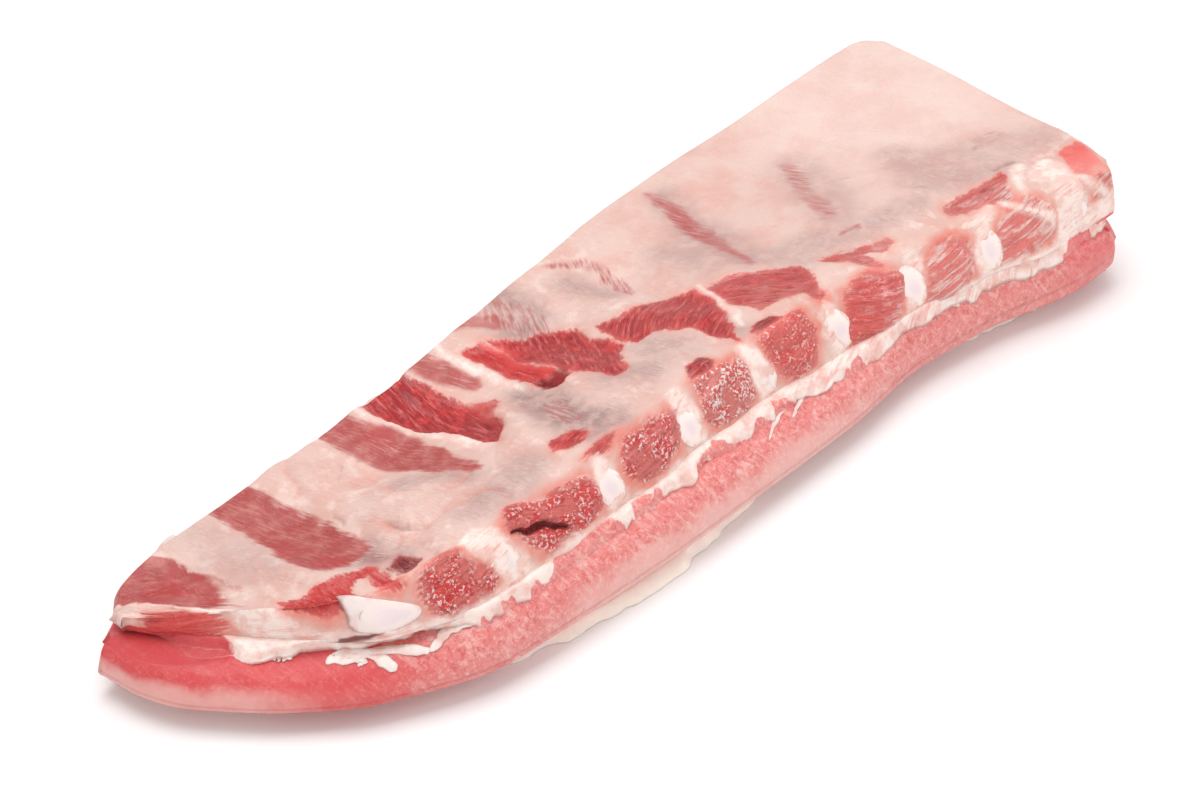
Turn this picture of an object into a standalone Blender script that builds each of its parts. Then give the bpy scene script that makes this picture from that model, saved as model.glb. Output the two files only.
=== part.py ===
"""A raw rack of ribs: nine rib bones in a slab of meat, over a sheet of fat, a loin muscle and a fat cap.

The rack lies on its outer side, so the inner side of the rib cage faces up. X runs along the rack,
from its narrow end to its wide end. -Y is the long side where the ribs were sawn from the backbone.
Lengths are in millimetres up to the last step, which puts them into Blender's metres.
"""

import bmesh
import bpy
import numpy as np

MM = 0.001
GAP = 0.3
# Middle of the rack's plan, which the model's origin is set to, and the table it lies on.
CENTRE = np.array((1.85, 4.55, 0.0))

# Plan of the rack. Each edge is a smooth line through these (x, y) points.
SAWN_EDGE = (
    (-167, 21), (-163, 14), (-155, 3), (-147, -7), (-134, -23), (-121, -36), (-104, -43), (-85, -46),
    (-34, -43.5), (14, -39.5), (51, -40.5), (95, -44), (146, -51), (159, -50.5), (164, -45),
)
LOIN_EDGE = (
    (-173.5, 20), (-172, 8), (-168, -3), (-160, -14), (-149, -26), (-129, -41), (-93, -53), (-45, -54),
    (0, -52.5), (40, -50.5), (78, -46), (105, -48), (143, -55), (156, -54.5), (161, -49.5),
)
CAP_EDGE = (
    (-169, 19), (-168, 8), (-163, -1), (-155, -10), (-144, -20), (-127, -33), (-100, -45), (-80, -52),
    (-56, -55.5), (-33, -55), (-4, -50), (14, -45), (78, -40), (140, -49), (157, -46),
)
BACK_EDGE = (
    (-168, 26), (-160, 30.5), (-147, 33.5), (-92, 36), (-58, 39.5), (-6, 47.5), (57, 56.5), (106, 59.5),
    (165, 63.5), (171, 62), (175.5, 57),
)

# Where each rib leaves the sawn side and the far side. The ribs spread towards the far side.
RIB_FRONT_X = (-116, -84, -44, -10.5, 21, 52, 81, 110, 143)
RIB_BACK_X = (-140, -104, -63, -28, 2, 37, 80, 127, 163)
RIBS = len(RIB_FRONT_X)
RIGHT_END = 9.55
# How far the wide end bows out between its corners.
END_BOW = 1.0
# The same beyond the first rib, towards the narrow end, as (rib number, x) points.
NARROW_FRONT_X = ((0, -167), (0.2, -163), (0.45, -155), (0.7, -141))
NARROW_BACK_X = ((0, -167), (0.2, -164), (0.45, -159), (0.7, -151))

# Heights above the table along each side, as (x, z) points.
SHEET_Z_FRONT = ((-172, 15), (-135, 17), (-100, 20), (-50, 21.5), (50, 21.5), (100, 22.5), (160, 22.5))
SHEET_Z_BACK = ((-172, 13.5), (-100, 15), (0, 17), (174, 19))
TOP_Z_FRONT = ((-172, 19), (-140, 24.5), (-118, 29), (-84, 33.5), (-44, 36), (60, 36), (160, 37.5))
TOP_Z_BACK = ((-172, 19), (-127, 24), (-92, 26), (-58, 27), (0, 28.5), (58, 30), (174, 31))
BACK_LIFT = ((-172, 1), (-130, 4), (-60, 7), (60, 8), (130, 7), (174, 4))
BULGE_Z = ((-172, 7), (-100, 8), (60, 8.5), (110, 10), (160, 12))
# Height at which the slope of the sawn side would meet its edge in plan. It ends above, on the fat sheet.
FOOT_Z = ((-172, 11.5), (-135, 13.5), (-100, 16.5), (-50, 18), (50, 18), (100, 20), (160, 22))

# How far the sloping faces reach in from their edges, as (x, inset) points.
SAWN_INSET = ((-172, 2.5), (-145, 5), (-120, 9), (-100, 12.5), (130, 12.5), (150, 7), (160, 2.5))
LOIN_INSET = (
    (-173, 3), (-166, 8), (-156, 13), (-130, 14), (-93, 9), (-45, 10), (0, 12), (40, 10), (78, 6),
    (110, 5.5), (160, 5),
)
# How much of the loin's front slope the fat sheet leaves bare, apart from its tongues, as (x, share).
LIP = ((-173, 0.92), (-130, 0.88), (-95, 0.7), (160, 0.66))
# Tongues of fat that hang over the loin: x, half width, and how far they reach down the slope.
TONGUES = ((-139, 5, 0.3), (-128, 4, 0.45), (-118, 3, 0.3), (-102, 5, 0.55), (-24, 4, 0.25), (47, 5, 0.3))
BACK_INSET = 2.2
CAP_INSET = 4.0

# Shares across the rack, from the sawn side to the far side, at which the layers have points.
STATIONS = 46
SLAB_ACROSS = tuple(np.linspace(0.2, 1, 10))
LAYER_ACROSS = (0.24, 0.6, 0.68, 0.78, 0.89, 1)

SHEET_THICK = 1.8
CAP_THICK = 3.2
RIB_RISE = 1.5

# Half sizes of a rib's oval section at the sawn end and at the far end.
BONE_FRONT = (4.6, 5.2)
BONE_BACK = (6.4, 3.2)
FIRST_BONE_FRONT = (8.0, 4.4)
BONE_PROUD = 0.5
# How far the meat between the sawn rib ends stands out beyond their line.
MEAT_SWELL = 1.4
# Least meat under and over a rib, and under its sawn end.
BONE_COVER = 1.5
END_COVER = 1.2
# Room round a rib in its channel, and how far a channel's cutter runs past both ends.
CHANNEL_ROOM = 0.4
CUTTER_PAST = 8.0


def through(points, x):
    """A smooth line through (x, y) points that never overshoots them, read at x."""
    px, py = np.array(points, float).T
    step = np.diff(px)
    slope = np.diff(py) / step
    same_way = slope[:-1] * slope[1:] > 0
    mean = 2 * slope[:-1] * slope[1:] / np.where(same_way, slope[:-1] + slope[1:], 1)
    tangent = np.concatenate([slope[:1], np.where(same_way, mean, 0), slope[-1:]])
    x = np.clip(x, px[0], px[-1])
    i = np.clip(np.searchsorted(px, x) - 1, 0, len(step) - 1)
    h = step[i]
    t = (x - px[i]) / h
    ends = py[i] * (1 + 2 * t) * (1 - t) ** 2 + py[i + 1] * t * t * (3 - 2 * t)
    return ends + h * t * (1 - t) * (tangent[i] * (1 - t) - tangent[i + 1] * t)


def ease(low, high, x):
    """0 below low, 1 above high, and a smooth rise between."""
    t = np.clip((x - low) / (high - low), 0, 1)
    return t * t * (3 - 2 * t)


def hump(centre, half_width, x):
    """1 at the centre, falling smoothly to nearly nothing at twice the half width."""
    return np.exp(-(((x - centre) / half_width) ** 2))


def edge_points(edge, x):
    """Points of a front edge or of the back edge at x, and the unit direction square to it, towards -Y."""
    y = through(edge, x)
    slope = through(edge, x + 0.5) - through(edge, x - 0.5)
    out = np.stack([slope, -np.ones_like(slope)], -1)
    return np.stack([x, y], -1), out / np.linalg.norm(out, axis=-1, keepdims=True)


def share_across(xy):
    """0 at the sawn side and 1 at the far side."""
    x, y = xy[..., 0], xy[..., 1]
    front, back = through(SAWN_EDGE, x), through(BACK_EDGE, x)
    return np.clip((y - front) / np.maximum(back - front, 1), -0.3, 1.1)


def rib_number(xy):
    """1 on the first rib, 2 on the second, and fractions between and beyond them."""
    across = np.clip(share_across(xy), 0, 1)[..., None]
    front, back = np.array(RIB_FRONT_X, float), np.array(RIB_BACK_X, float)
    line_x = front + (back - front) * across
    x = xy[..., 0]
    i = np.clip((x[..., None] > line_x).sum(-1) - 1, 0, RIBS - 2)[..., None]
    low, high = (np.take_along_axis(line_x, i + more, -1)[..., 0] for more in (0, 1))
    return 1 + i[..., 0] + (x - low) / (high - low)


def between_ribs(rib):
    """1 midway between two ribs and 0 on a rib, and 0 beyond the first and the last."""
    return (0.5 - 0.5 * np.cos(2 * np.pi * rib)) * (rib > 1) * (rib < RIBS)


def sheet_top(xy):
    """Height of the fat sheet's upper face."""
    front, back = through(SHEET_Z_FRONT, xy[..., 0]), through(SHEET_Z_BACK, xy[..., 0])
    return front + (back - front) * ease(0, 1, share_across(xy))


def slab_top(xy):
    """Height of the slab's upper face: a crest behind the sawn side, and a low bulge over each rib."""
    across, x = share_across(xy), xy[..., 0]
    crest, back = through(TOP_Z_FRONT, x), through(TOP_Z_BACK, x)
    height = crest + (back - crest) * ease(0.22, 0.8, across) - 1.2 * hump(0.72, 0.12, across)
    rib = rib_number(xy)
    between = 1.2 * between_ribs(rib) * hump(0.2, 0.16, across)
    inside = ease(0.18, 0.45, across) * ease(-0.5, 0.4, rib) * ease(RIGHT_END, RIGHT_END - 0.5, rib)
    bulge = RIB_RISE * (1 - 0.55 * ease(20, 110, x)) * np.cos(2 * np.pi * rib)
    trough = 1.8 * hump(3.02, 0.2, rib) * ease(0.42, 0.55, across)
    return height + between + inside * (bulge - trough)


def underside(xy):
    """Height of the lowest face, flat on the table and lifting at the far side as the ribs curve up."""
    return through(BACK_LIFT, xy[..., 0]) * ease(0.62, 1.0, share_across(xy))


def face_rise(way_in):
    """Share of a sloping face's height at that share of the way in from its edge to its crest."""
    return 1 - (1 - way_in) ** 1.5


def sawn_way_in(height, crest, x):
    """The share of the way in at which the slab's sawn side reaches a height."""
    foot = through(FOOT_Z, x)
    return 1 - (1 - np.clip((height - foot) / (crest - foot), 0, 1)) ** (1 / 1.5)


def link(name, mesh, collection):
    made = bpy.data.objects.new(name, mesh)
    collection.objects.link(made)
    return made


def loft(name, rings, collection):
    """A closed mesh over rings of points in millimetres. The first and last ring are shut or capped."""
    bm = bmesh.new()
    rows = [[bm.verts.new((point - CENTRE) * MM) for point in ring] for ring in rings]
    for row, following in zip(rows, rows[1:]):
        for j, vert in enumerate(row):
            k = (j + 1) % len(row)
            bm.faces.new((vert, following[j], following[k], row[k]))
    bmesh.ops.remove_doubles(bm, verts=bm.verts, dist=0.02 * MM)
    bmesh.ops.dissolve_degenerate(bm, edges=bm.edges, dist=0.01 * MM)
    bmesh.ops.holes_fill(bm, edges=bm.edges, sides=0)
    bmesh.ops.triangulate(bm, faces=bm.faces, quad_method="FIXED")
    bmesh.ops.recalc_face_normals(bm, faces=bm.faces)
    mesh = bpy.data.meshes.new(name)
    bm.to_mesh(mesh)
    bm.free()
    return link(name, mesh, collection)


def station_lines():
    """Lines in plan that run from the sawn side to the far side as the ribs do, from end to end.

    Every layer is built on them. They lie closer together near both ends.
    """
    t = np.linspace(0, 1, STATIONS)
    rib = RIGHT_END * (t - 0.45 * np.sin(2 * np.pi * t) / (2 * np.pi))
    front_x, back_x = (
        through((*narrow, *enumerate(at_ribs, 1), (RIGHT_END, edge[-1][0])), rib)
        for narrow, at_ribs, edge in (
            (NARROW_FRONT_X, RIB_FRONT_X, SAWN_EDGE), (NARROW_BACK_X, RIB_BACK_X, BACK_EDGE),
        )
    )
    return edge_points(SAWN_EDGE, front_x), edge_points(BACK_EDGE, back_x)


def no_inset(x):
    return 0 * x


def layer_rings(front_edge, front_insets, back_inset, face, across, back, heights, ends):
    """The rings of one layer of the rack, each the upper half of a section and then the lower half.

    A section runs over the front face, which lies between the two front_insets read at x, on through
    the shares across, and over the far face, which is back_inset wide. heights gives the upper and
    lower height for points in plan. ends are the lengths over which the section closes to its middle
    height, which rounds both ends of the layer.
    """
    (sawn, _), (far, far_out) = station_lines()
    x = sawn[:, 0]
    lead = (front_edge[0][0] - x[0]) * (1 - ease(x[0], x[0] + 40, x))
    trail = (front_edge[-1][0] - x[-1]) * ease(x[-1] - 25, x[-1], x)
    front, front_out = edge_points(front_edge, x + lead + trail)
    first, last = (inset(front[:, 0])[:, None] for inset in front_insets)
    inner, outer = far + far_out * back_inset, far
    plans = [(front - front_out * (first + (last - first) * share), share, 1.0) for share in face]
    bow = np.stack([END_BOW * ease(x[-1] - 30, x[-1], x), 0 * x], 1)
    plans += [(sawn + (inner - sawn) * share + bow * 4 * share * (1 - share), 1.0, 1.0) for share in across]
    plans += [(outer + (inner - outer) * share, 1.0, share) for share in back]
    upper, lower = [], []
    for plan, on_face, on_back in plans:
        high, low = heights(plan, on_face, on_back)
        upper.append(np.concatenate([plan, high[:, None]], 1))
        lower.append(np.concatenate([plan, low[:, None]], 1))
    upper, lower = np.stack(upper, 1), np.stack(lower, 1)

    def capped(end, length):
        """Rings that close one end, from the last full section outwards."""
        for angle in (0.8, np.pi / 2):
            high, low = upper[end].copy(), lower[end].copy()
            middle = (high[:, 2] + low[:, 2]) / 2
            half = (high[:, 2] - low[:, 2]) / 2 * np.cos(angle)
            high[:, 2], low[:, 2] = middle + half, middle - half
            ring = np.concatenate([high, low[::-1]])
            ring[:, 0] += length * np.sin(angle)
            yield ring

    rings = np.concatenate([upper, lower[:, ::-1]], 1)
    return np.concatenate([[*capped(0, -ends[0])][::-1], rings, [*capped(-1, ends[1])]])


def make_slab(collection):
    """The meat between and over the ribs. Its sawn side slopes, and its far side is steep."""

    def heights(plan, on_face, on_back):
        low, high = sheet_top(plan) + GAP, slab_top(plan)
        if on_face < 1:
            foot = through(FOOT_Z, plan[:, 0])
            start = sawn_way_in(low, high, plan[:, 0])
            return foot + (high - foot) * face_rise(start + (1 - start) * on_face), low
        round_off = (high - low) * 0.43 * (1 - on_back) ** 1.5
        return high - round_off, low + round_off

    def lower_edge(x):
        """The meat starts where the fat sheet cuts the slope, and swells out between the sawn ribs."""
        edge = edge_points(SAWN_EDGE, x)[0]
        start = sawn_way_in(sheet_top(edge) + GAP, through(TOP_Z_FRONT, x), x)
        return through(SAWN_INSET, x) * start - MEAT_SWELL * between_ribs(rib_number(edge))

    rings = layer_rings(
        SAWN_EDGE, (lower_edge, lambda x: through(SAWN_INSET, x)), BACK_INSET,
        (0, 0.08, 0.3, 0.6, 1), SLAB_ACROSS, (0.5, 0), heights, (1.0, 1.5),
    )
    return loft("rib_slab", rings, collection)


def loin_heights(plan, way_in, on_back):
    """Upper and lower height of the loin. way_in is the share of the way in over its rounded front."""
    high = sheet_top(plan) - SHEET_THICK - GAP
    low = underside(plan) + CAP_THICK + GAP
    middle = through(BULGE_Z, plan[:, 0])
    bow = np.sqrt(np.maximum(1 - (1 - way_in) ** 2, 0))
    round_off = (high - low) * 0.43 * (1 - on_back) ** 1.5
    return middle + (high - middle) * bow - round_off, middle - (middle - low) * bow ** 0.6 + round_off


def make_loin(collection):
    """The smooth muscle under the ribs. It shows as a rounded band below the sawn side."""
    rings = layer_rings(
        LOIN_EDGE, (no_inset, lambda x: through(LOIN_INSET, x)), BACK_INSET,
        (0, 0.04, 0.16, 0.36, 0.64, 1), LAYER_ACROSS, (0.4, 0), loin_heights, (0.8, 2.5),
    )
    return loft("loin", rings, collection)


def lip_share(x):
    """Share of the loin's front slope that the fat sheet leaves bare at x."""
    tongues = sum(reach * hump(centre, half, x) for centre, half, reach in TONGUES)
    ragged = 0.05 * np.sin(x * 0.9) + 0.05 * np.sin(x * 0.37 + 1)
    return np.clip(through(LIP, x) + ragged - tongues, 0.08, 0.95)


def make_sheet(collection):
    """The sheet of fat between the ribs and the loin, with a ragged lip that hangs over the loin."""

    def heights(plan, on_face, on_back):
        x = plan[:, 0]
        lip = lip_share(x)
        loin_top = loin_heights(plan, lip + (1 - lip) * on_face, 1.0)[0]
        low = loin_top + GAP * (2.5 - 1.5 * on_face)
        thick = SHEET_THICK * (0.35 + 0.65 * on_face)
        round_off = SHEET_THICK * 0.3 * (1 - on_back)
        return np.minimum(low + thick, sheet_top(plan)) - round_off, low + round_off

    insets = (lambda x: through(LOIN_INSET, x) * lip_share(x), lambda x: through(LOIN_INSET, x))
    rings = layer_rings(
        LOIN_EDGE, insets, BACK_INSET - 0.6, (0, 0.5, 1), LAYER_ACROSS, (0,),
        heights, (1.0, 1.0),
    )
    return loft("fat_sheet", rings, collection)


def make_cap(collection):
    """The fat on the rack's outer side, which it lies on. A thin flap of it shows in front of the loin."""

    def heights(plan, on_face, on_back):
        low = underside(plan)
        round_off = 0.8 * (1 - on_back)
        return low + 0.6 + (CAP_THICK - 0.6) * face_rise(on_face) - round_off, low + round_off

    rings = layer_rings(
        CAP_EDGE, (no_inset, lambda x: CAP_INSET + 0 * x), 1.5, (0, 0.4, 1),
        LAYER_ACROSS, (0,), heights, (1.0, 1.0),
    )
    return loft("fat_cap", rings, collection)


def bone_rings(number, grow, past):
    """Rings of one rib from the sawn side to the far side, grown on all sides by grow.

    Its front end follows the slab's sloping face. A cutter reaches past both ends.
    """
    i = number - 1
    front = edge_points(SAWN_EDGE, np.array([float(RIB_FRONT_X[i])]))[0][0]
    back = edge_points(BACK_EDGE, np.array([float(RIB_BACK_X[i])]))[0][0]
    length = np.linalg.norm(back - front)
    way = (back - front) / length
    side = np.array([way[1], -way[0]])
    inwards = -edge_points(SAWN_EDGE, np.array([float(RIB_FRONT_X[i])]))[1][0]
    half_front = FIRST_BONE_FRONT if number == 1 else BONE_FRONT
    angle = np.linspace(0, 2 * np.pi, 12, endpoint=False)
    rings = []
    for t in np.linspace(0, 1, 6):
        wide, tall = (a + (b - a) * ease(0, 0.7, t) for a, b in zip(half_front, BONE_BACK))
        centre = front + way * length * t
        floor, roof = sheet_top(centre) + GAP, slab_top(centre)
        under = END_COVER + (BONE_COVER - END_COVER) * ease(0, 0.6, t)
        lowest, highest = floor + under + tall, roof - BONE_COVER - tall
        middle = min(lowest, max(highest, (floor + roof) / 2)) if t > 0.2 else lowest
        height = middle + (tall + grow) * np.sin(angle)
        along = np.full_like(angle, length * t)
        if t == 0:
            inset = through(SAWN_INSET, front[0])
            crest = slab_top(front + way * inset)
            inset_here = inset * sawn_way_in(height, crest, front[0]) - BONE_PROUD
            along = (inset_here - (wide + grow) * np.cos(angle) * (side @ inwards)) / (way @ inwards)
        plan = front + np.outer(along, way) + np.outer((wide + grow) * np.cos(angle), side)
        rings.append(np.concatenate([plan, height[:, None]], 1))
    beyond = np.array([*way, 0]) * past
    return np.array([*([rings[0] - beyond] if past else []), *rings, *([rings[-1] + beyond] if past else [])])


def make_bones(rack, cutters, slab):
    """The nine ribs, each in a channel cut through the slab with a little room round it."""
    for number in range(1, RIBS + 1):
        loft(f"rib_bone_{number}", bone_rings(number, 0.0, 0.0), rack)
        cutter = loft(f"rib_channel_{number}", bone_rings(number, CHANNEL_ROOM, CUTTER_PAST), cutters)
        cutter.hide_render = True
        cutter.display_type = "WIRE"
        cut = slab.modifiers.new(f"channel_{number}", "BOOLEAN")
        cut.operation = "DIFFERENCE"
        cut.solver = "EXACT"
        cut.object = cutter


def finish(name, colour, roughness, objects):
    """Gives objects one plain material and smooth shading with sharp edges kept."""
    material = bpy.data.materials.new(name)
    material.use_nodes = True
    surface = material.node_tree.nodes["Principled BSDF"]
    surface.inputs["Base Color"].default_value = (*colour, 1)
    surface.inputs["Roughness"].default_value = roughness
    surface.inputs["Metallic"].default_value = 0
    for thing in objects:
        thing.data.materials.append(material)
        thing.data.shade_smooth()
        thing.data.set_sharp_from_angle(angle=np.radians(50))


def clear_scene():
    for thing in list(bpy.data.objects):
        bpy.data.objects.remove(thing)


def collection_in_scene(name):
    made = bpy.data.collections.new(name)
    bpy.context.scene.collection.children.link(made)
    return made


def main():
    clear_scene()
    rack, cutters = collection_in_scene("rack_of_ribs"), collection_in_scene("cutters")
    slab = make_slab(rack)
    loin = make_loin(rack)
    sheet = make_sheet(rack)
    cap = make_cap(rack)
    make_bones(rack, cutters, slab)
    bones = [thing for thing in rack.objects if thing.name.startswith("rib_bone")]
    finish("rib_meat", (0.62, 0.22, 0.20), 0.35, [slab])
    finish("loin_meat", (0.72, 0.22, 0.22), 0.4, [loin])
    finish("fat", (0.90, 0.76, 0.70), 0.4, [sheet, cap])
    finish("bone", (0.90, 0.86, 0.86), 0.35, bones)


main()
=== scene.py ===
"""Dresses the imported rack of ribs: raw meat under a pale membrane, sawn bones, fat and a loin muscle.

Lengths are in millimetres up to the last step, which puts them into Blender's metres. The forms are
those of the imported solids, made finer. On the rib slab, a place is given as (x, s): x runs along the
rack, and s is the distance over the surface from the foot of the sawn side, over the crest, to the
far side.
"""

import math

import bpy
import numpy as np
from bpy.props import FloatProperty, FloatVectorProperty, IntProperty, PointerProperty
from bpy.types import Operator, Panel, PropertyGroup
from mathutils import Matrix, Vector


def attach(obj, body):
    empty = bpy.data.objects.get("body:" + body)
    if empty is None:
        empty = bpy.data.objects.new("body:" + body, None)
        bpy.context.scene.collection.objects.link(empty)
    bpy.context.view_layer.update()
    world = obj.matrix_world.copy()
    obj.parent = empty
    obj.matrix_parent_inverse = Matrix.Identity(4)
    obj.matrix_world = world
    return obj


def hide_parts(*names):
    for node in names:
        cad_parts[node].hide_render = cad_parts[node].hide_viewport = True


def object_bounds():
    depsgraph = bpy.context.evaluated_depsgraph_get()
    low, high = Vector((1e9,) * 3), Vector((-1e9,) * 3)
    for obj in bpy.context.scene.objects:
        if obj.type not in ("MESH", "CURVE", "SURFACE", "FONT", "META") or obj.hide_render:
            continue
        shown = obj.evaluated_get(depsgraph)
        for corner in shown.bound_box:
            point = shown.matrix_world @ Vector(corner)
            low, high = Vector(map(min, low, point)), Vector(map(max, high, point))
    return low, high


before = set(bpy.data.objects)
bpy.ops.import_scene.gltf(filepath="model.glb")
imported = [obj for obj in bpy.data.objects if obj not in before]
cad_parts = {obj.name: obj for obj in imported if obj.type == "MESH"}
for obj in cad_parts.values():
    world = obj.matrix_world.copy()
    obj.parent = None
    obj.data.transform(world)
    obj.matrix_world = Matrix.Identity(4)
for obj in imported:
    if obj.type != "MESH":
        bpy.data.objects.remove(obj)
CAD_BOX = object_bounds()

bl_info = {
    "name": "Raw rack of ribs",
    "version": (1, 0, 0),
    "blender": (4, 5, 0),
    "location": "3D View > Sidebar > Rack",
    "description": "Dresses a rack of ribs with meat, membrane, fat and bone",
    "category": "Add Mesh",
}

MM = 0.001
# Space between one layer and the next.
GAP = 0.3
# Width over which the distance from a border of the meat or fat is kept, so that borders can be ragged.
BORDER = 8
# Distance in from a border that stands for any place far outside it.
OUTSIDE = -9.0
# The place in plan that lies on the frame's origin.
CENTRE = np.array((1.85, 4.55, 0.0))

# Plan of the rack. Each edge is a smooth line through these (x, y) points.
SAWN_EDGE = (
    (-167, 21), (-163, 14), (-155, 3), (-147, -7), (-134, -23), (-121, -36), (-104, -43), (-85, -46),
    (-34, -43.5), (14, -39.5), (51, -40.5), (95, -44), (146, -51), (159, -50.5), (164, -45),
)
LOIN_EDGE = (
    (-173.5, 20), (-172, 8), (-168, -3), (-160, -14), (-149, -26), (-129, -41), (-93, -53), (-45, -54),
    (0, -52.5), (40, -50.5), (78, -46), (105, -48), (143, -55), (156, -54.5), (161, -49.5),
)
CAP_EDGE = (
    (-169, 19), (-168, 8), (-163, -1), (-155, -10), (-144, -20), (-127, -33), (-100, -45), (-80, -52),
    (-56, -55.5), (-33, -55), (-4, -50), (14, -45), (78, -40), (140, -49), (157, -46),
)
BACK_EDGE = (
    (-168, 26), (-160, 30.5), (-147, 33.5), (-92, 36), (-58, 39.5), (-6, 47.5), (57, 56.5), (106, 59.5),
    (165, 63.5), (171, 62), (175.5, 57),
)
RIB_FRONT_X = (-116, -84, -44, -10.5, 21, 52, 81, 110, 143)
RIB_BACK_X = (-140, -104, -63, -28, 2, 37, 80, 127, 163)
RIBS = len(RIB_FRONT_X)
# The right end, counted on from the ribs, and how far its wall bows out.
RIGHT_END = 9.55
END_BOW = 1.0
# Angles, in radians, through which a layer's end rounds off.
END_TURNS = (0.35, 0.7, 1.05, 1.35, 1.52)
# Where the narrow end lies before the first rib, as (rib number, x) points.
NARROW_FRONT_X = ((0, -167), (0.2, -163), (0.45, -155), (0.7, -141))
NARROW_BACK_X = ((0, -167), (0.2, -164), (0.45, -159), (0.7, -151))

# Heights above the table along each side, as (x, z) points.
SHEET_Z_FRONT = ((-172, 15), (-135, 17), (-100, 20), (-50, 21.5), (50, 21.5), (100, 22.5), (160, 22.5))
SHEET_Z_BACK = ((-172, 13.5), (-100, 15), (0, 17), (174, 19))
TOP_Z_FRONT = ((-172, 19), (-140, 24.5), (-118, 29), (-84, 33.5), (-44, 36), (60, 36), (160, 37.5))
TOP_Z_BACK = ((-172, 19), (-127, 24), (-92, 26), (-58, 27), (0, 28.5), (58, 30), (174, 31))
BACK_LIFT = ((-172, 1), (-130, 4), (-60, 7), (60, 8), (130, 7), (174, 4))
BULGE_Z = ((-172, 7), (-100, 8), (60, 8.5), (110, 10), (160, 12))
# Height at which the slope of the sawn side would meet its edge in plan. It ends above, on the fat.
FOOT_Z = ((-172, 11.5), (-135, 13.5), (-100, 16.5), (-50, 18), (50, 18), (100, 20), (160, 22))

# How far the sloping faces reach in from their edges, as (x, inset) points.
SAWN_INSET = ((-172, 2.5), (-145, 5), (-120, 9), (-100, 12.5), (130, 12.5), (150, 7), (160, 2.5))
LOIN_INSET = (
    (-173, 3), (-166, 8), (-156, 13), (-130, 14), (-93, 9), (-45, 10), (0, 12), (40, 10), (78, 6),
    (110, 5.5), (160, 5),
)
# Share of the loin's front slope that the fat sheet leaves bare, as (x, share) points.
LIP = (
    (-173, 0.92), (-130, 0.88), (-95, 0.72), (20, 0.72), (45, 0.56), (130, 0.5), (145, 0.8), (160, 0.8),
)
# How far the white seam reaches out from the sawn edge, where the loin's meat takes over, and how far up
# the slab it reaches, as (x, distance) points.
SEAM_OUT = (
    (-150, 5), (-125, 4.8), (-112, 4.5), (-100, 2), (-80, 1.1), (-64, -0.8), (-45, 0), (-30, 2), (-20, 3.4),
    (-8, 1.4), (1, 3.6), (18, 1.1), (30, 2.6), (38, 5), (46, 2.6), (70, 4.5), (85, 3.4), (98, 5), (107, 4.1),
    (130, 4.4), (138, -0.2), (155, -0.6),
)
SEAM_UP = (
    (-126, 9), (-110, 6), (-78, 5.2), (-63, 7.2), (-45, 6), (-28, 5.1), (-8, 4.6), (19, 5), (40, 4.6),
    (80, 4), (130, 4), (140, 6), (150, 10),
)
# From this x on, the fat of the seam reaches up the slab.
SEAM_START = -126
# How far the far face slopes in, and the front of the outer fat.
BACK_INSET = 2.2
CAP_INSET = 4.0
# Shares of the far face at which the slab and the loin have points, and how far they round off there.
BACK_SHARES = (0.75, 0.5, 0.3, 0.14, 0.04, 0)
BACK_ROUND = 0.43
# Share of the way across at which the flat tops of the lower layers start.
TOP_START = 0.24
# A sloping face follows this power, steep at its foot and flat at its crest.
FACE_POWER = 1.5
# Thickness of the white seam and of the outer fat, which thins to a rim in front.
SHEET_THICK = 1.8
CAP_THICK = 3.2
CAP_RIM = 0.6
# The loin fills most of the seam at the narrow end, where no fat shows.
TIP_RISE = 1.5
LOIN_STATIONS, SHEET_STATIONS, CAP_STATIONS = 500, 620, 420
# Height of the bulge over each rib, and how far the sawn meat swells out between two ribs.
RIB_RISE = 1.5
MEAT_SWELL = 1.4
# Half width and half height of a rib at the sawn side and at the far side.
BONE_FRONT = (4.6, 5.2)
BONE_BACK = (6.4, 3.2)
FIRST_BONE_FRONT = (8.0, 4.4)
# Outline of the first rib's slanting cut, round its middle: along the sawn side and up.
FIRST_BONE_CUT = (
    (5.8, 0.4), (2.8, 2.4), (-0.6, 3.9), (-3.2, 4.6), (-4.8, 3.8), (-5.8, 0.8), (-7.4, -3.4), (-5.0, -4.4),
    (-0.5, -3.6), (4.4, -1.7),
)
# How far a sawn end stands out of the meat, and the power that domes it towards its rim.
BONE_PROUD = 0.38
BONE_DOME = 2.5
# A rib is thinner by this share where the meat hides it.
BONE_SLIMMER = 0.35
# Meat over and under a rib, inside and at its sawn end.
BONE_COVER = 1.5
END_COVER = 1.2
# Shares of the way out from a sawn end's middle at which it has rings.
END_SHARES = (0.02, 0.2, 0.4, 0.6, 0.8, 0.93)
# Lengths along a fibre shrink by this share, so that noise draws out along it.
FIBRE_STRETCH = 0.16
# Ragged wander of every border on the slab: how far, and over what length.
WANDER = ((0.9, 7), (0.5, 2.6), (0.3, 1.3))
# Lights: name, place, size and power, in metres and watts. All of them aim at one place.
LIGHTS = (
    ("overhead", (0.1, 0.25, 1.1), (0.8, 0.8), 8),
    ("front_fill", (-0.9, -0.9, 0.55), (0.9, 0.6), 3),
    ("side_strip", (0.9, -0.7, 0.5), (0.15, 0.5), 2),
)
LIGHTS_AIM = (0, 0, 0.02)

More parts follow.
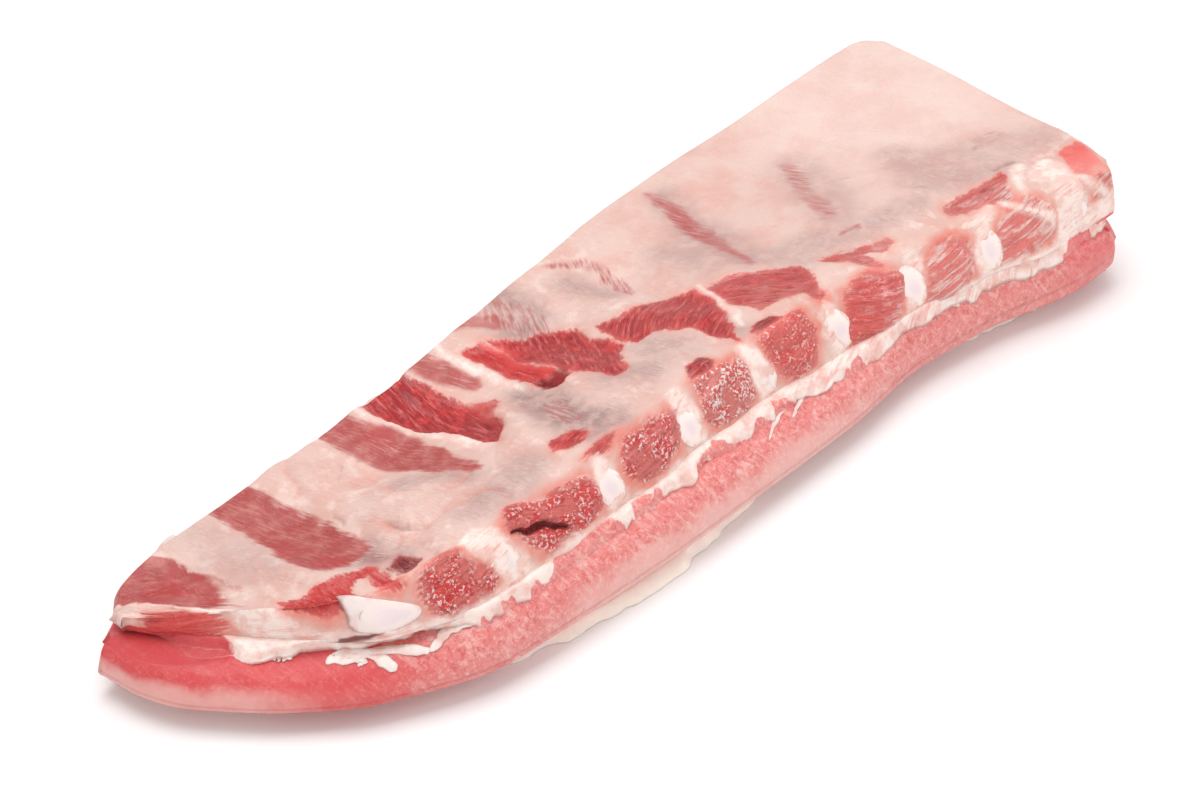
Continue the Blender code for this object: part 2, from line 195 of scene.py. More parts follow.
# Bare red meat on the slab: direction of its fibres in degrees, how far it swells out, its share of
# white grain and painted wet glints, how bright it is, and its outline as (x, s) points.
RED_MEAT = (
    (15, 1.1, 1.0, 0.7, ((-110, 13), (-107.5, 18.5), (-101, 21.7), (-96, 21), (-92.5, 15.5), (-88.5, 12),
     (-88.5, 8), (-95, 4), (-105, 3.5), (-110, 8))),
    (-20, 1.0, 0.9, 0.7, ((-76.4, 25.5), (-73.7, 22.8), (-67.5, 21), (-59.8, 19.6), (-52, 19), (-49, 15.5),
     (-48.5, 12), (-50, 8), (-58.7, 7), (-73.7, 6.7), (-76, 10), (-78, 14), (-81, 17.8), (-80, 21))),
    (15, 1.0, 1.0, 0.72, ((-38.1, 16), (-34.2, 20.5), (-27.6, 22.2), (-19.8, 19), (-14, 17.8),
     (-14.2, 13.3), (-17.6, 7.8), (-25.3, 6.1), (-34.2, 6.7), (-38.7, 11))),
    # Painted highlight: this block's large share of grain paints the wet highlight on it as white glints.
    (20, 1.1, 1.5, 0.85, ((-4.8, 14.4), (-4.5, 20), (3.6, 22), (10.2, 21), (16.3, 18.9), (15.8, 10),
     (10.2, 5.6), (1.3, 5.6), (-5.3, 8.3), (-7, 12.2))),
    (0, 0.9, 0.05, 0.2, ((-4.8, 21), (-4.2, 23.3), (-2, 27.8), (3.6, 28), (6.9, 25.6), (8, 22.8), (4, 21))),
    (18, 1.0, 0.8, 0.85, ((23.6, 14.4), (24.1, 22), (36.3, 23.3), (42.4, 23.9), (42.4, 20), (44.7, 15.5),
     (42.4, 11.1), (40.2, 6.7), (29.1, 5.6), (24.7, 10))),
    (0, 0.9, 0.05, 0.18, ((24.1, 22), (24.4, 24.5), (26.9, 27), (32.4, 27), (36.3, 23.3), (31, 22))),
    (-18, 1.0, 0.35, 0.8, ((54.8, 12.7), (58, 19), (63.6, 22.1), (70, 23), (78.3, 18.5), (80.4, 15.3),
     (77, 10), (73.4, 5.5), (66, 4), (53.3, 4.5), (53, 9))),
    (14, 0.9, 0.25, 0.95, ((84.3, 4), (86, 11), (90.3, 17.3), (96, 20), (100.5, 20.6), (105.9, 16.5),
     (106, 11), (103, 6.5), (99, 3.2), (88, 2.6))),
    (17, 0.8, 0.2, 1.0, ((112, 2.8), (113.5, 10), (116.3, 15.2), (121.1, 21), (129.3, 21.4), (136.2, 15.4),
     (135, 9), (130, 5.5), (120, 2.8))),
    (20, 0.5, 0.2, 0.8, ((152.5, 14), (156, 17.5), (159.5, 14.5), (159, 9), (155, 7.5), (151, 10.5))),
    (50, 1.0, 0.3, 0.95, ((148, 17.2), (150.2, 22.2), (154.7, 31), (157, 33.5), (164, 34), (165, 27),
     (162.4, 21), (156.9, 20.5), (152, 16.5))),
    (60, -0.6, 0.35, 0.38, ((-24, 87), (-20, 84), (-16.4, 80.6), (-9.8, 80.6), (-4.2, 76.7), (-1.4, 71),
     (-3, 63.3), (-0.3, 57.8), (-0.9, 52.2), (-5.3, 50), (-8.7, 44.4), (-10.9, 38.9), (-13.7, 37.8),
     (-17, 38.9), (-18.7, 44.4), (-20.9, 49.4), (-22, 60), (-24, 72))),
    (95, -1.2, 0.5, 0.7, ((-32.6, 89), (-25.3, 87.5), (-23, 80), (-23, 65), (-21, 51), (-25.3, 51.7),
     (-28, 53.3), (-29.8, 60), (-30.3, 71))),
    (30, -0.6, 0.45, 0.42, ((1.1, 65.5), (8, 61), (19.1, 60), (25.8, 59.4), (32.6, 56.7), (30, 47.8),
     (28, 41), (24.7, 34.4), (21.3, 25.5), (20.2, 21.7), (18, 27.8), (14.7, 32.2), (14.1, 37.8),
     (9.1, 43.3), (6.9, 46.7), (1.3, 48.3), (0, 54.4))),
    (-40, -0.6, 0.4, 0.52, ((33, 55.6), (36.9, 52.2), (42.4, 47.8), (50.2, 43.3), (58, 38.9), (58.6, 34.4),
     (54.7, 27.8), (53, 21), (49.7, 21), (48, 27.8), (42.4, 30.5), (33, 31.5), (30.8, 38.9), (31.3, 48.9))),
    (-25, -0.3, 0.3, 0.6, ((62.4, 37.2), (70.2, 35), (74.7, 32), (80.2, 31), (85.8, 31), (85.8, 27.8),
     (81.3, 25.5), (74, 28.5), (76, 22), (74.7, 21), (70.2, 24.4), (68, 30))),
    (15, -0.3, 0.4, 0.62, ((106.9, 30), (112.4, 31.7), (123.6, 33.3), (135.8, 34.6), (134.7, 31),
     (130.2, 27.8), (125.8, 22.2), (121.3, 21), (118, 24.4), (112.4, 23.3), (107.4, 25.5))),
    (5, 0.4, 0.15, 0.4, ((-53, 31), (-50, 33.7), (-42, 33.8), (-39, 31), (-41, 28.4), (-48, 28.3))),
    (80, -1.8, 0.1, 0.38, ((-68, 94), (-68, 101), (-50, 101), (-47, 88), (-45.5, 76), (-45.3, 66),
     (-48, 58), (-52, 51), (-56.4, 47), (-58.7, 49.4), (-58, 56.7), (-59.2, 63.3), (-59.8, 69), (-63, 74.4),
     (-65.3, 81), (-67.5, 88.9))),
    (70, 0.2, 0.05, 0.55, ((-45.4, 74), (-42, 70), (-38.5, 69), (-40, 66), (-46.5, 62), (-49, 60))),
    (20, 0.6, 0.1, 0.85, ((-162.5, 4), (-156, 3), (-150, 4.5), (-147.5, 9), (-149.6, 14), (-153, 19.5),
     (-157.5, 17.5), (-161.5, 13))),
    (88, -0.3, 0.15, 0.75, ((-138, 12), (-135, 13.5), (-131, 10.5), (-125.5, 13), (-122.5, 16), (-122, 32),
     (-119, 35.5), (-115.5, 35.5), (-117.3, 31), (-117.5, 17.5), (-113.5, 15), (-112, 16), (-112.3, 33),
     (-113, 38.5), (-122, 41), (-130, 38), (-137, 31))),
    (88, -0.2, 0.05, 0.1, ((-110.8, 33), (-106, 36), (-104.5, 30), (-107, 24), (-110, 23))),
    (10, 0.2, 0.1, 0.55, ((-48.5, 22.5), (-43, 25), (-38.5, 25.5), (-33, 23.5), (-38, 21.5), (-44, 20.5))),
)
# Meat that shows dully through the membrane: fibre direction, strength, and (x, s, half width) points.
DULL_STRIPS = (
    (82, 1.0, ((-153, 28, 8), (-152, 38, 10), (-149, 50, 8.5), (-146, 63, 6), (-144.5, 76, 2.5))),
    (60, 1.0, ((-161, 27, 6), (-159, 38, 6), (-154, 54, 5), (-150, 68, 3))),
    (20, 0.7, ((-152, 27, 4), (-145, 26, 1.6))),
    (86, 0.6, ((-140, 62, 1.2), (-139, 52, 1.6), (-138, 44, 1))),
    (104, 1.0, ((-118.5, 101, 8), (-116.5, 82, 7), (-115.5, 70, 8.5), (-116, 58, 10), (-116, 53, 10))),
    (104, 0.45, ((-118, 50, 5), (-112, 44, 4), (-108, 36, 3.5))),
    (108, 0.95, ((-80, 101, 6), (-79, 92, 6), (-75.5, 82, 8), (-73, 72, 7.5), (-71, 62, 5.5), (-69, 52, 3),
                 (-67.5, 46, 1.5))),
    (115, 0.85, ((-44.5, 99, 4), (-41, 88, 5), (-38.5, 79, 3.5))),
    (150, 0.7, ((-24, 99, 4), (-16, 92, 5))),
    (60, 0.45, ((-12, 100, 5), (-11, 90, 6.5), (-9, 84, 7))),
    (60, 0.6, ((13, 99, 2), (21, 94, 3), (24, 88, 3), (22, 78, 4), (21, 72, 2))),
    (112, 0.8, ((60, 104, 1.5), (60, 92, 3), (58, 84, 4.5), (55, 74, 4), (53, 64, 3), (50, 50, 2))),
    (114, 0.6, ((101, 86, 3), (97.5, 78, 4), (92, 70, 3), (88, 60, 4), (84, 50, 3))),
    (0, 0.75, ((77, 40.3, 0.7), (85, 40, 1.4))),
    (140, 0.4, ((103, 68, 1.2), (106, 64, 1.5), (114, 58, 1.5), (117, 52, 1.2))),
    (140, 0.5, ((109, 46, 0.8), (114, 41, 1))),
    (0, 0.35, ((144, 52, 4), (153, 54, 4))),
    (85, 0.5, ((-36, 48, 5), (-38, 38, 4))),
)
# Thin blue-grey skin, one strip of which is painted shadow: strength and (x, s, half width) points.
SILVER_SKIN = (
    (0.9, ((-35, 62, 4), (-36, 52, 7), (-38, 42, 8), (-37, 33, 8), (-30, 28, 4))),
    (0.5, ((-1, 47, 3), (1, 40, 7), (7, 34, 5), (3, 44, 5))),
    (0.7, ((19, 34, 2), (24, 27, 3))),
    (0.9, ((-119, 50, 5), (-112, 46, 6), (-107, 34, 4))),
    (0.3, ((-131, 88, 6), (-130, 72, 8), (-131, 58, 7))),
    (0.45, ((42, 76, 6), (46, 60, 8), (58, 48, 8), (84, 38, 6))),
    (0.45, ((124, 62, 7), (118, 44, 9), (140, 36, 5))),
    (0.8, ((-7, 96, 6), (-4, 84, 4), (-12, 86, 8))),
    (0.6, ((12, 88, 5), (16, 76, 5))),
    (0.7, ((-84, 60, 3), (-78, 56, 4), (-72, 46, 4))),
    (0.5, ((-82, 32, 6), (-70, 30, 7), (-60, 34, 5))),
    # Painted shadow, drawn as grey skin beside a column of white fat.
    (0.6, ((134, 38, 2), (142, 37, 3))),
    (0.6, ((62, 98, 5), (56, 76, 8), (51, 54, 8))),
    (0.4, ((102, 84, 7), (92, 62, 9), (84, 46, 7))),
    (0.35, ((126, 56, 9), (142, 48, 10), (160, 44, 7))),
    (0.6, ((-18, 40, 5), (-8, 34, 6))),
    (0.5, ((58, 42, 5), (68, 39, 4), (90, 38, 5), (106, 38, 4))),
)
# Bright fat: (x, s, half width) points.
WHITE_FAT = (
    ((-83.5, 3.5, 4), (-83.3, 9, 5), (-86, 16, 4), (-90, 22, 4)),
    ((-45, 5, 3), (-45, 12, 4.2), (-45.5, 18, 2.6)),
    ((-10.5, 4, 3), (-10.5, 12, 3.6), (-11.5, 19, 3.4)),
    ((19.5, 4, 3), (19, 12, 4.4), (18.5, 19, 3)),
    ((50, 4, 2.6), (49.5, 12, 3.6), (50.5, 18, 2)),
    ((79, 3, 2.6), (81.5, 9, 3.6), (86, 17, 1.8)),
    ((107, 3, 2.4), (109, 10, 3.6), (112.5, 17, 2.2), (118, 23, 0.9)),
    ((137, 4, 3), (141, 10, 4), (145, 19, 4.5), (144, 27, 4), (149, 31, 2.5)),
    ((130, 22, 0.6), (137, 30, 1.4), (143, 34, 1.6)),
    ((-70.5, 95, 0.7), (-66, 82, 0.8), (-62, 72, 1.3), (-60.5, 60, 1.8), (-60, 50, 1.6)),
    ((-36, 99, 1.0), (-34, 84, 1.3), (-33, 74, 1.5), (-32, 64, 1)),
    ((34, 57, 0.4), (31.3, 47, 0.7), (27.5, 36, 0.9), (25, 30, 0.8)),
    ((-166, 8, 2.5), (-164.5, 13, 1.6), (-160, 19.5, 0.8), (-154, 22, 0.7), (-147, 20, 1.6)),
    ((-147, 20, 2.5), (-144, 12, 3.5), (-141, 6, 4)),
    ((-141, 18, 2), (-139, 8, 3.5), (-134, 5, 2.5), (-128, 6, 1.5)),
    ((150, 27, 1.6), (147, 20, 2.2), (144, 12, 3), (143, 6, 2)),
    ((147, 20, 1), (153, 14, 1.6), (157, 9, 1.6)),
    ((122, 22, 1), (128, 17, 1.2), (134, 12, 2)),
)
# Sunken places, which are also painted with shade: depth and (x, s, half width) points.
HOLLOWS = (
    (2.6, ((-79, 17.2, 0.4), (-75.3, 15, 0.8), (-69.8, 13.3, 0.9), (-64, 10.6, 0.3))),
    (1.1, ((-27.5, 58, 2.6), (-24, 55, 3))),
    (0.5, ((-29.6, 66, 0.5), (-27, 57, 0.8))),
    (0.7, ((135.5, 37, 1), (143, 38, 1.6))),
    (0.7, ((-104.8, 64.5, 0.5), (-104.6, 61, 0.7))),
    (0.9, ((-99, 48.5, 0.3), (-98.5, 44, 0.5), (-94, 36, 0.2))),
    (0.7, ((-93, 76.7, 0.2), (-88, 81, 0.5))),
    (1.6, ((-130, 4.2, 0.9), (-126, 5, 0.9), (-121.5, 5.6, 0.5))),
    (0.6, ((-57.5, 55, 0.3), (-57.3, 48, 0.6), (-56, 46, 0.4))),
    (0.5, ((-60, 46, 0.3), (-68, 38, 0.3))),
)
# Pockets in the seam under the first rib, sunk and painted with shade: (x, distance out from the sawn edge,
# half width) points.
SEAM_POCKETS = (
    ((-131, 0.8, 1.2), (-126, 1.2, 1.6), (-122.5, 1.0, 0.9)),
    ((-121.5, 1.6, 1.0), (-118, 2.2, 2.5), (-113.8, 2.3, 2.2)),
)
# Loose ends of fat over the loin: (x, share of the way in, half width) points.
FAT_STRANDS = (
    ((-152, 1.0, 1.8), (-150.5, 0.94, 1.4), (-149, 0.82, 0.8)),
    ((-141, 0.78, 1.2), (-139.2, 0.72, 1.6), (-133, 0.72, 1.5), (-128, 0.52, 1.1), (-124.9, 0.26, 1.2)),
    ((-135, 0.74, 1.0), (-133, 0.6, 0.8), (-134, 0.5, 0.6)),
    ((-139.4, 0.86, 1.0), (-132, 0.77, 1.5), (-124.4, 0.66, 1.3), (-119, 0.52, 1.0), (-116.1, 0.42, 0.8)),
    ((-116.1, 0.42, 0.8), (-112.8, 0.61, 1.0), (-107.5, 0.87, 1.3), (-101, 0.97, 1.6)),
    ((-37, 1.0, 1.2), (-34, 0.82, 0.8)),
    ((26, 1.0, 0.7), (18, 0.8, 0.45), (10, 0.45, 0.3)),
    ((32, 1.0, 0.7), (26, 0.75, 0.4), (21, 0.55, 0.25)),
    ((66, 1.0, 0.9), (62, 0.85, 0.7), (58, 0.74, 0.5)),
    ((52, 1.0, 0.8), (48, 0.8, 0.5)),
    ((92, 1.0, 0.8), (93, 0.75, 0.6), (94, 0.4, 0.4)),
    ((-70, 1.0, 1.0), (-74, 0.8, 0.5)),
)
# Places that stand out: height and (x, s, half width) points.
RIDGES = (
    (1.3, ((-52, 43, 3), (-47, 54, 3), (-42, 64, 2))),
    (1.0, ((-72, 31, 6), (-60, 31, 5))),
    (1.1, ((-97, 50, 7), (-76, 46, 7))),
    (0.8, ((-101, 92, 4), (-99, 75, 5))),
    (0.9, ((-27, 45, 5), (-20, 34, 5))),
    (0.7, ((-139, 12, 4), (-143, 18, 3))),
    (0.6, ((-6, 68, 1), (0, 66, 1), (8, 62.5, 0.8))),
)


def through(points, x):
    """A smooth line through (x, y) points that never overshoots them, read at x."""
    px, py = np.array(points, float).T
    step = np.diff(px)
    slope = np.diff(py) / step
    same_way = slope[:-1] * slope[1:] > 0
    mean = 2 * slope[:-1] * slope[1:] / np.where(same_way, slope[:-1] + slope[1:], 1)
    tangent = np.concatenate([slope[:1], np.where(same_way, mean, 0), slope[-1:]])
    x = np.clip(x, px[0], px[-1])
    i = np.clip(np.searchsorted(px, x) - 1, 0, len(step) - 1)
    h = step[i]
    t = (x - px[i]) / h
    ends = py[i] * (1 + 2 * t) * (1 - t) ** 2 + py[i + 1] * t * t * (3 - 2 * t)
    return ends + h * t * (1 - t) * (tangent[i] * (1 - t) - tangent[i + 1] * t)


def ease(low, high, x):
    """0 below low, 1 above high, and a smooth rise between."""
    t = np.clip((x - low) / (high - low), 0, 1)
    return t * t * (3 - 2 * t)


def hump(centre, half_width, x):
    """1 at the centre, falling smoothly to nearly nothing at twice the half width."""
    return np.exp(-(((x - centre) / half_width) ** 2))


def edge_points(edge, x):
    """Points of a front edge or of the back edge at x, and the unit direction square to it, towards -Y."""
    y = through(edge, x)
    slope = through(edge, x + 0.5) - through(edge, x - 0.5)
    out = np.stack([slope, -np.ones_like(slope)], -1)
    return np.stack([x, y], -1), out / np.linalg.norm(out, axis=-1, keepdims=True)


def share_across(xy):
    """0 at the sawn side and 1 at the far side."""
    x, y = xy[..., 0], xy[..., 1]
    front, back = through(SAWN_EDGE, x), through(BACK_EDGE, x)
    return np.clip((y - front) / np.maximum(back - front, 1), -0.3, 1.1)


def rib_number(xy):
    """1 on the first rib, 2 on the second, and fractions between and beyond them."""
    across = np.clip(share_across(xy), 0, 1)[..., None]
    front, back = np.array(RIB_FRONT_X, float), np.array(RIB_BACK_X, float)
    line_x = front + (back - front) * across
    x = xy[..., 0]
    i = np.clip((x[..., None] > line_x).sum(-1) - 1, 0, RIBS - 2)[..., None]
    low, high = (np.take_along_axis(line_x, i + more, -1)[..., 0] for more in (0, 1))
    return 1 + i[..., 0] + (x - low) / (high - low)


def between_ribs(rib):
    """1 midway between two ribs and 0 on a rib, and 0 beyond the first and the last."""
    return (0.5 - 0.5 * np.cos(2 * np.pi * rib)) * (rib > 1) * (rib < RIBS)


def sheet_top(xy):
    """Height of the fat sheet's upper face."""
    front, back = through(SHEET_Z_FRONT, xy[..., 0]), through(SHEET_Z_BACK, xy[..., 0])
    return front + (back - front) * ease(0, 1, share_across(xy))


def slab_top(xy):
    """Height of the slab's upper face: a crest behind the sawn side, and a low bulge over each rib."""
    across, x = share_across(xy), xy[..., 0]
    crest, back = through(TOP_Z_FRONT, x), through(TOP_Z_BACK, x)
    end = ease(105, 165, x)
    fall = ease(0.22, 0.8, across)
    fall += (np.clip((across - 0.1) / 0.9, 0, 1) - fall) * end
    height = crest + (back - crest) * fall - 1.2 * hump(0.72, 0.12, across) * (1 - end)
    height -= 1.2 * hump(0.4, 0.2, across) * end
    rib = rib_number(xy)
    between = 1.2 * between_ribs(rib) * hump(0.2, 0.16, across)
    inside = ease(0.18, 0.45, across) * ease(-0.5, 0.4, rib) * ease(RIGHT_END, RIGHT_END - 0.5, rib)
    bulge = RIB_RISE * (1 - 0.55 * ease(20, 110, x)) * (1 - 0.7 * end) * np.cos(2 * np.pi * rib)
    trough = 1.8 * hump(3.02, 0.2, rib) * ease(0.42, 0.55, across)
    return height + between + inside * (bulge - trough) * (1 - 0.85 * ease(0.6, 0.97, across))


def underside(xy):
    """Height of the lowest face, flat on the table and lifting at the far side as the ribs curve up."""
    return through(BACK_LIFT, xy[..., 0]) * ease(0.62, 1.0, share_across(xy))


def face_rise(way_in):
    """Share of a sloping face's height at that share of the way in from its edge to its crest."""
    return 1 - (1 - way_in) ** FACE_POWER


def sawn_way_in(height, crest, x):
    """The share of the way in at which the slab's sawn side reaches a height."""
    foot = through(FOOT_Z, x)
    return 1 - (1 - np.clip((height - foot) / (crest - foot), 0, 1)) ** (1 / FACE_POWER)


def lower_edge(x):
    """Inset of the meat's lower edge: it starts on the fat sheet, and swells out between the ribs."""
    edge = edge_points(SAWN_EDGE, x)[0]
    start = sawn_way_in(sheet_top(edge) + GAP, through(TOP_Z_FRONT, x), x)
    return through(SAWN_INSET, x) * start - MEAT_SWELL * between_ribs(rib_number(edge))


def station_lines(count):
    """Lines in plan from the sawn side to the far side, which run as the ribs do."""
    t = np.linspace(0, 1, count)
    rib = RIGHT_END * (t - 0.45 * np.sin(2 * np.pi * t) / (2 * np.pi))
    front_x, back_x = (
        through((*narrow, *enumerate(at_ribs, 1), (RIGHT_END, edge[-1][0])), rib)
        for narrow, at_ribs, edge in (
            (NARROW_FRONT_X, RIB_FRONT_X, SAWN_EDGE), (NARROW_BACK_X, RIB_BACK_X, BACK_EDGE),
        )
    )
    return edge_points(SAWN_EDGE, front_x), edge_points(BACK_EDGE, back_x)


def rounded_back(high, low, on_back):
    """How far both faces of a layer draw together over its far face."""
    return (high - low) * BACK_ROUND * (1 - on_back) ** 1.5


def layer_surface(count, front_edge, front_insets, back_inset, face, shoulder, across, back, heights):
    """The upper points of one layer and the heights of its lower face, station by station.

    A section runs over the front face, which lies between the two front_insets read at x, over the
    shoulder, on through the shares across, and over the far face, which is back_inset wide.
    """
    (sawn, _), (far, far_out) = station_lines(count)
    x = sawn[:, 0]
    lead = (front_edge[0][0] - x[0]) * (1 - ease(x[0], x[0] + 40, x))
    trail = (front_edge[-1][0] - x[-1]) * ease(x[-1] - 25, x[-1], x)
    front, front_out = edge_points(front_edge, x + lead + trail)
    first, last = (inset(front[:, 0])[:, None] for inset in front_insets)
    inner = far + far_out * back_inset
    plans = [(front - front_out * (first + (last - first) * share), share, 1.0) for share in face]
    bow = np.stack([END_BOW * ease(x[-1] - 30, x[-1], x), 0 * x], 1)
    top = [sawn + (inner - sawn) * share + bow * 4 * share * (1 - share) for share in across]
    crest = plans[-1][0]
    between = np.linspace(0, 1, shoulder + 2)[1:-1]
    plans += [(crest + (top[0] - crest) * share, 1.0, 1.0) for share in between]
    plans += [(plan, 1.0, 1.0) for plan in top]
    plans += [(far + (inner - far) * share, 1.0, share) for share in back]
    upper, lower = [], []
    for plan, on_face, on_back in plans:
        high, low = heights(plan, on_face, on_back)
        upper.append(np.concatenate([plan, high[:, None]], 1))
        lower.append(low)
    return np.stack(upper, 1), np.stack(lower, 1)


def lattice(cell, seed):
    """A fixed pseudo-random number from -1 to 1 for each whole-number cell."""
    n = cell[..., 0] * 73856093 ^ cell[..., 1] * 19349663 ^ cell[..., 2] * 83492791 ^ seed * 2654435761
    n = (n ^ (n >> 13)) * 1274126177 & 0xFFFFFFFF
    n = (n ^ (n >> 15)) * 2246822519 & 0xFFFFFFFF
    return ((n ^ (n >> 16)) & 0xFFFF) / 32767.5 - 1


def noise(points, size, seed):
    """Smooth noise from -1 to 1 with features of about that size."""
    p = points / size
    cell = np.floor(p).astype(np.int64)
    t = p - cell
    t = t * t * (3 - 2 * t)
    total = np.zeros(p.shape[:-1])
    for corner in range(8):
        offset = np.array([corner & 1, corner >> 1 & 1, corner >> 2])
        share = np.prod(np.where(offset, t, 1 - t), axis=-1)
        total += share * lattice(cell + offset, seed)
    return total


def flat(x, y=0.0):
    """Places in a plane, at which noise can be read."""
    return np.stack(np.broadcast_arrays(x, y, 0.0), -1)


def rough_noise(points, size, seed, steps=4):
    """Noise with finer and finer detail on it."""
    return sum(noise(points, size / 2**i, seed + i) / 2**i for i in range(steps)) / 1.6


def nearest_on_segment(x, s, start, end):
    """Share of the way along a segment that lies nearest to each place, and the distance to it."""
    (ax, ay), (bx, by) = start, end
    ex, ey = bx - ax, by - ay
    t = np.clip(((x - ax) * ex + (s - ay) * ey) / (ex * ex + ey * ey), 0, 1)
    return t, np.hypot(x - ax - t * ex, s - ay - t * ey)


def inside_outline(x, s, outline):
    """Signed distance to a closed outline, positive inside."""
    nearest = np.full(x.shape, 1e9)
    inside = np.zeros(x.shape, bool)
    for start, end in zip(outline, outline[1:] + outline[:1]):
        nearest = np.minimum(nearest, nearest_on_segment(x, s, start, end)[1])
        (ax, ay), (bx, by) = start, end
        if ay != by:
            inside ^= ((ay > s) != (by > s)) & (x < ax + (s - ay) * (bx - ax) / (by - ay))
    return np.where(inside, nearest, -nearest)


def inside_strip(x, s, points):
    """Distance in from the border of a strip of changing half width, positive inside."""
    best = np.full(x.shape, -1e9)
    for (*start, half), (*end, end_half) in zip(points, points[1:]):
        t, distance = nearest_on_segment(x, s, start, end)
        best = np.maximum(best, half + (end_half - half) * t - distance)
    return best


def mesh_piece(name, tubes, fields, material, nodes):
    """A smooth object on the root body from closed tubes, with its fields as point attributes."""
    vertices = np.concatenate([rings.reshape(-1, 3) for rings in tubes])
    starts = np.cumsum([0, *(rings.size // 3 for rings in tubes)])
    faces = [face for start, rings in zip(starts, tubes) for face in ring_faces(start, *rings.shape[:2])]
    mesh = bpy.data.meshes.new(name)
    mesh.from_pydata(((vertices - CENTRE) * MM).tolist(), [], faces)
    for key, values in fields.items():
        layer = mesh.attributes.new(key, "FLOAT", "POINT")
        layer.data.foreach_set("value", np.ascontiguousarray(values, dtype=np.float32).ravel())
    mesh.shade_smooth()
    mesh.materials.append(material)
    mesh.update()
    made = bpy.data.objects.new(name, mesh)
    bpy.context.scene.collection.objects.link(made)
    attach(made, "root")
    if nodes:
        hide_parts(*nodes)
    return made


def ring_faces(start, rows, ring):
    """Faces of a tube of rings from point number start on, wound to look outwards, with closed ends."""
    i, j = np.meshgrid(np.arange(rows - 1), np.arange(ring), indexing="ij")
    k = (j + 1) % ring
    quads = np.stack([i * ring + j, i * ring + k, (i + 1) * ring + k, (i + 1) * ring + j], -1)
    first = np.arange(ring)[::-1]
    last = np.arange((rows - 1) * ring, rows * ring)
    return [*(start + quads).reshape(-1, 4).tolist(), (start + first).tolist(), (start + last).tolist()]


def grid_normals(grid):
    """Unit normals of a grid of points, for steps along its rows and columns."""
    along, across = np.gradient(grid, axis=0), np.gradient(grid, axis=1)
    normal = np.cross(along, across)
    return normal / np.maximum(np.linalg.norm(normal, axis=-1, keepdims=True), 1e-9)


def closed_layer(upper, lower_z, lower_every, ends, fields):
    """A tube from a layer's upper points, then every few of its lower ones, with rounded ends.

    Returns the tube's rings, and the fields of the upper surface spread over them.
    """
    count = upper.shape[1]
    chosen = np.unique([*range(0, count, lower_every), count - 1])[::-1]
    lower = upper[:, chosen].copy()
    lower[..., 2] = lower_z[:, chosen]
    rings = np.concatenate([upper, lower], 1)
    owner = np.concatenate([np.arange(count), chosen])

    def capped(end, length):
        middle = ((upper[end][:, 2] + lower_z[end]) / 2)[owner]
        for angle in END_TURNS:
            ring = rings[end].copy()
            ring[:, 2] = middle + (ring[:, 2] - middle) * np.cos(angle)
            ring[:, 0] += length * np.sin(angle)
            yield ring

    full = np.concatenate([[*capped(0, -ends[0])][::-1], rings, [*capped(-1, ends[1])]])
    station = np.clip(np.arange(len(full)) - len(END_TURNS), 0, len(rings) - 1)
    return full, {key: field[station][:, owner] for key, field in fields.items()}


class Wire:
    """A shader socket that adds Math nodes when it is used in an expression."""

    def __init__(self, surface, socket):
        self.surface = surface
        self.socket = socket

    def _math(self, operation, *values):
        return self.surface.node("ShaderNodeMath", {"operation": operation}, *values)

    def __add__(self, other):
        return self._math("ADD", self, other)

    __radd__ = __add__

    def __sub__(self, other):
        return self._math("SUBTRACT", self, other)

    def __rsub__(self, other):
        return self._math("SUBTRACT", other, self)

    def __mul__(self, other):
        return self._math("MULTIPLY", self, other)

    __rmul__ = __mul__

    def clamp(self):
        return self.surface.node("ShaderNodeClamp", {}, self, 0.0, 1.0)

    def step(self, low, high):
        """0 below low, 1 above high, and a smooth rise between."""
        kind = {"interpolation_type": "SMOOTHSTEP"}
        return self.surface.node("ShaderNodeMapRange", kind, self, low, high, 0.0, 1.0)


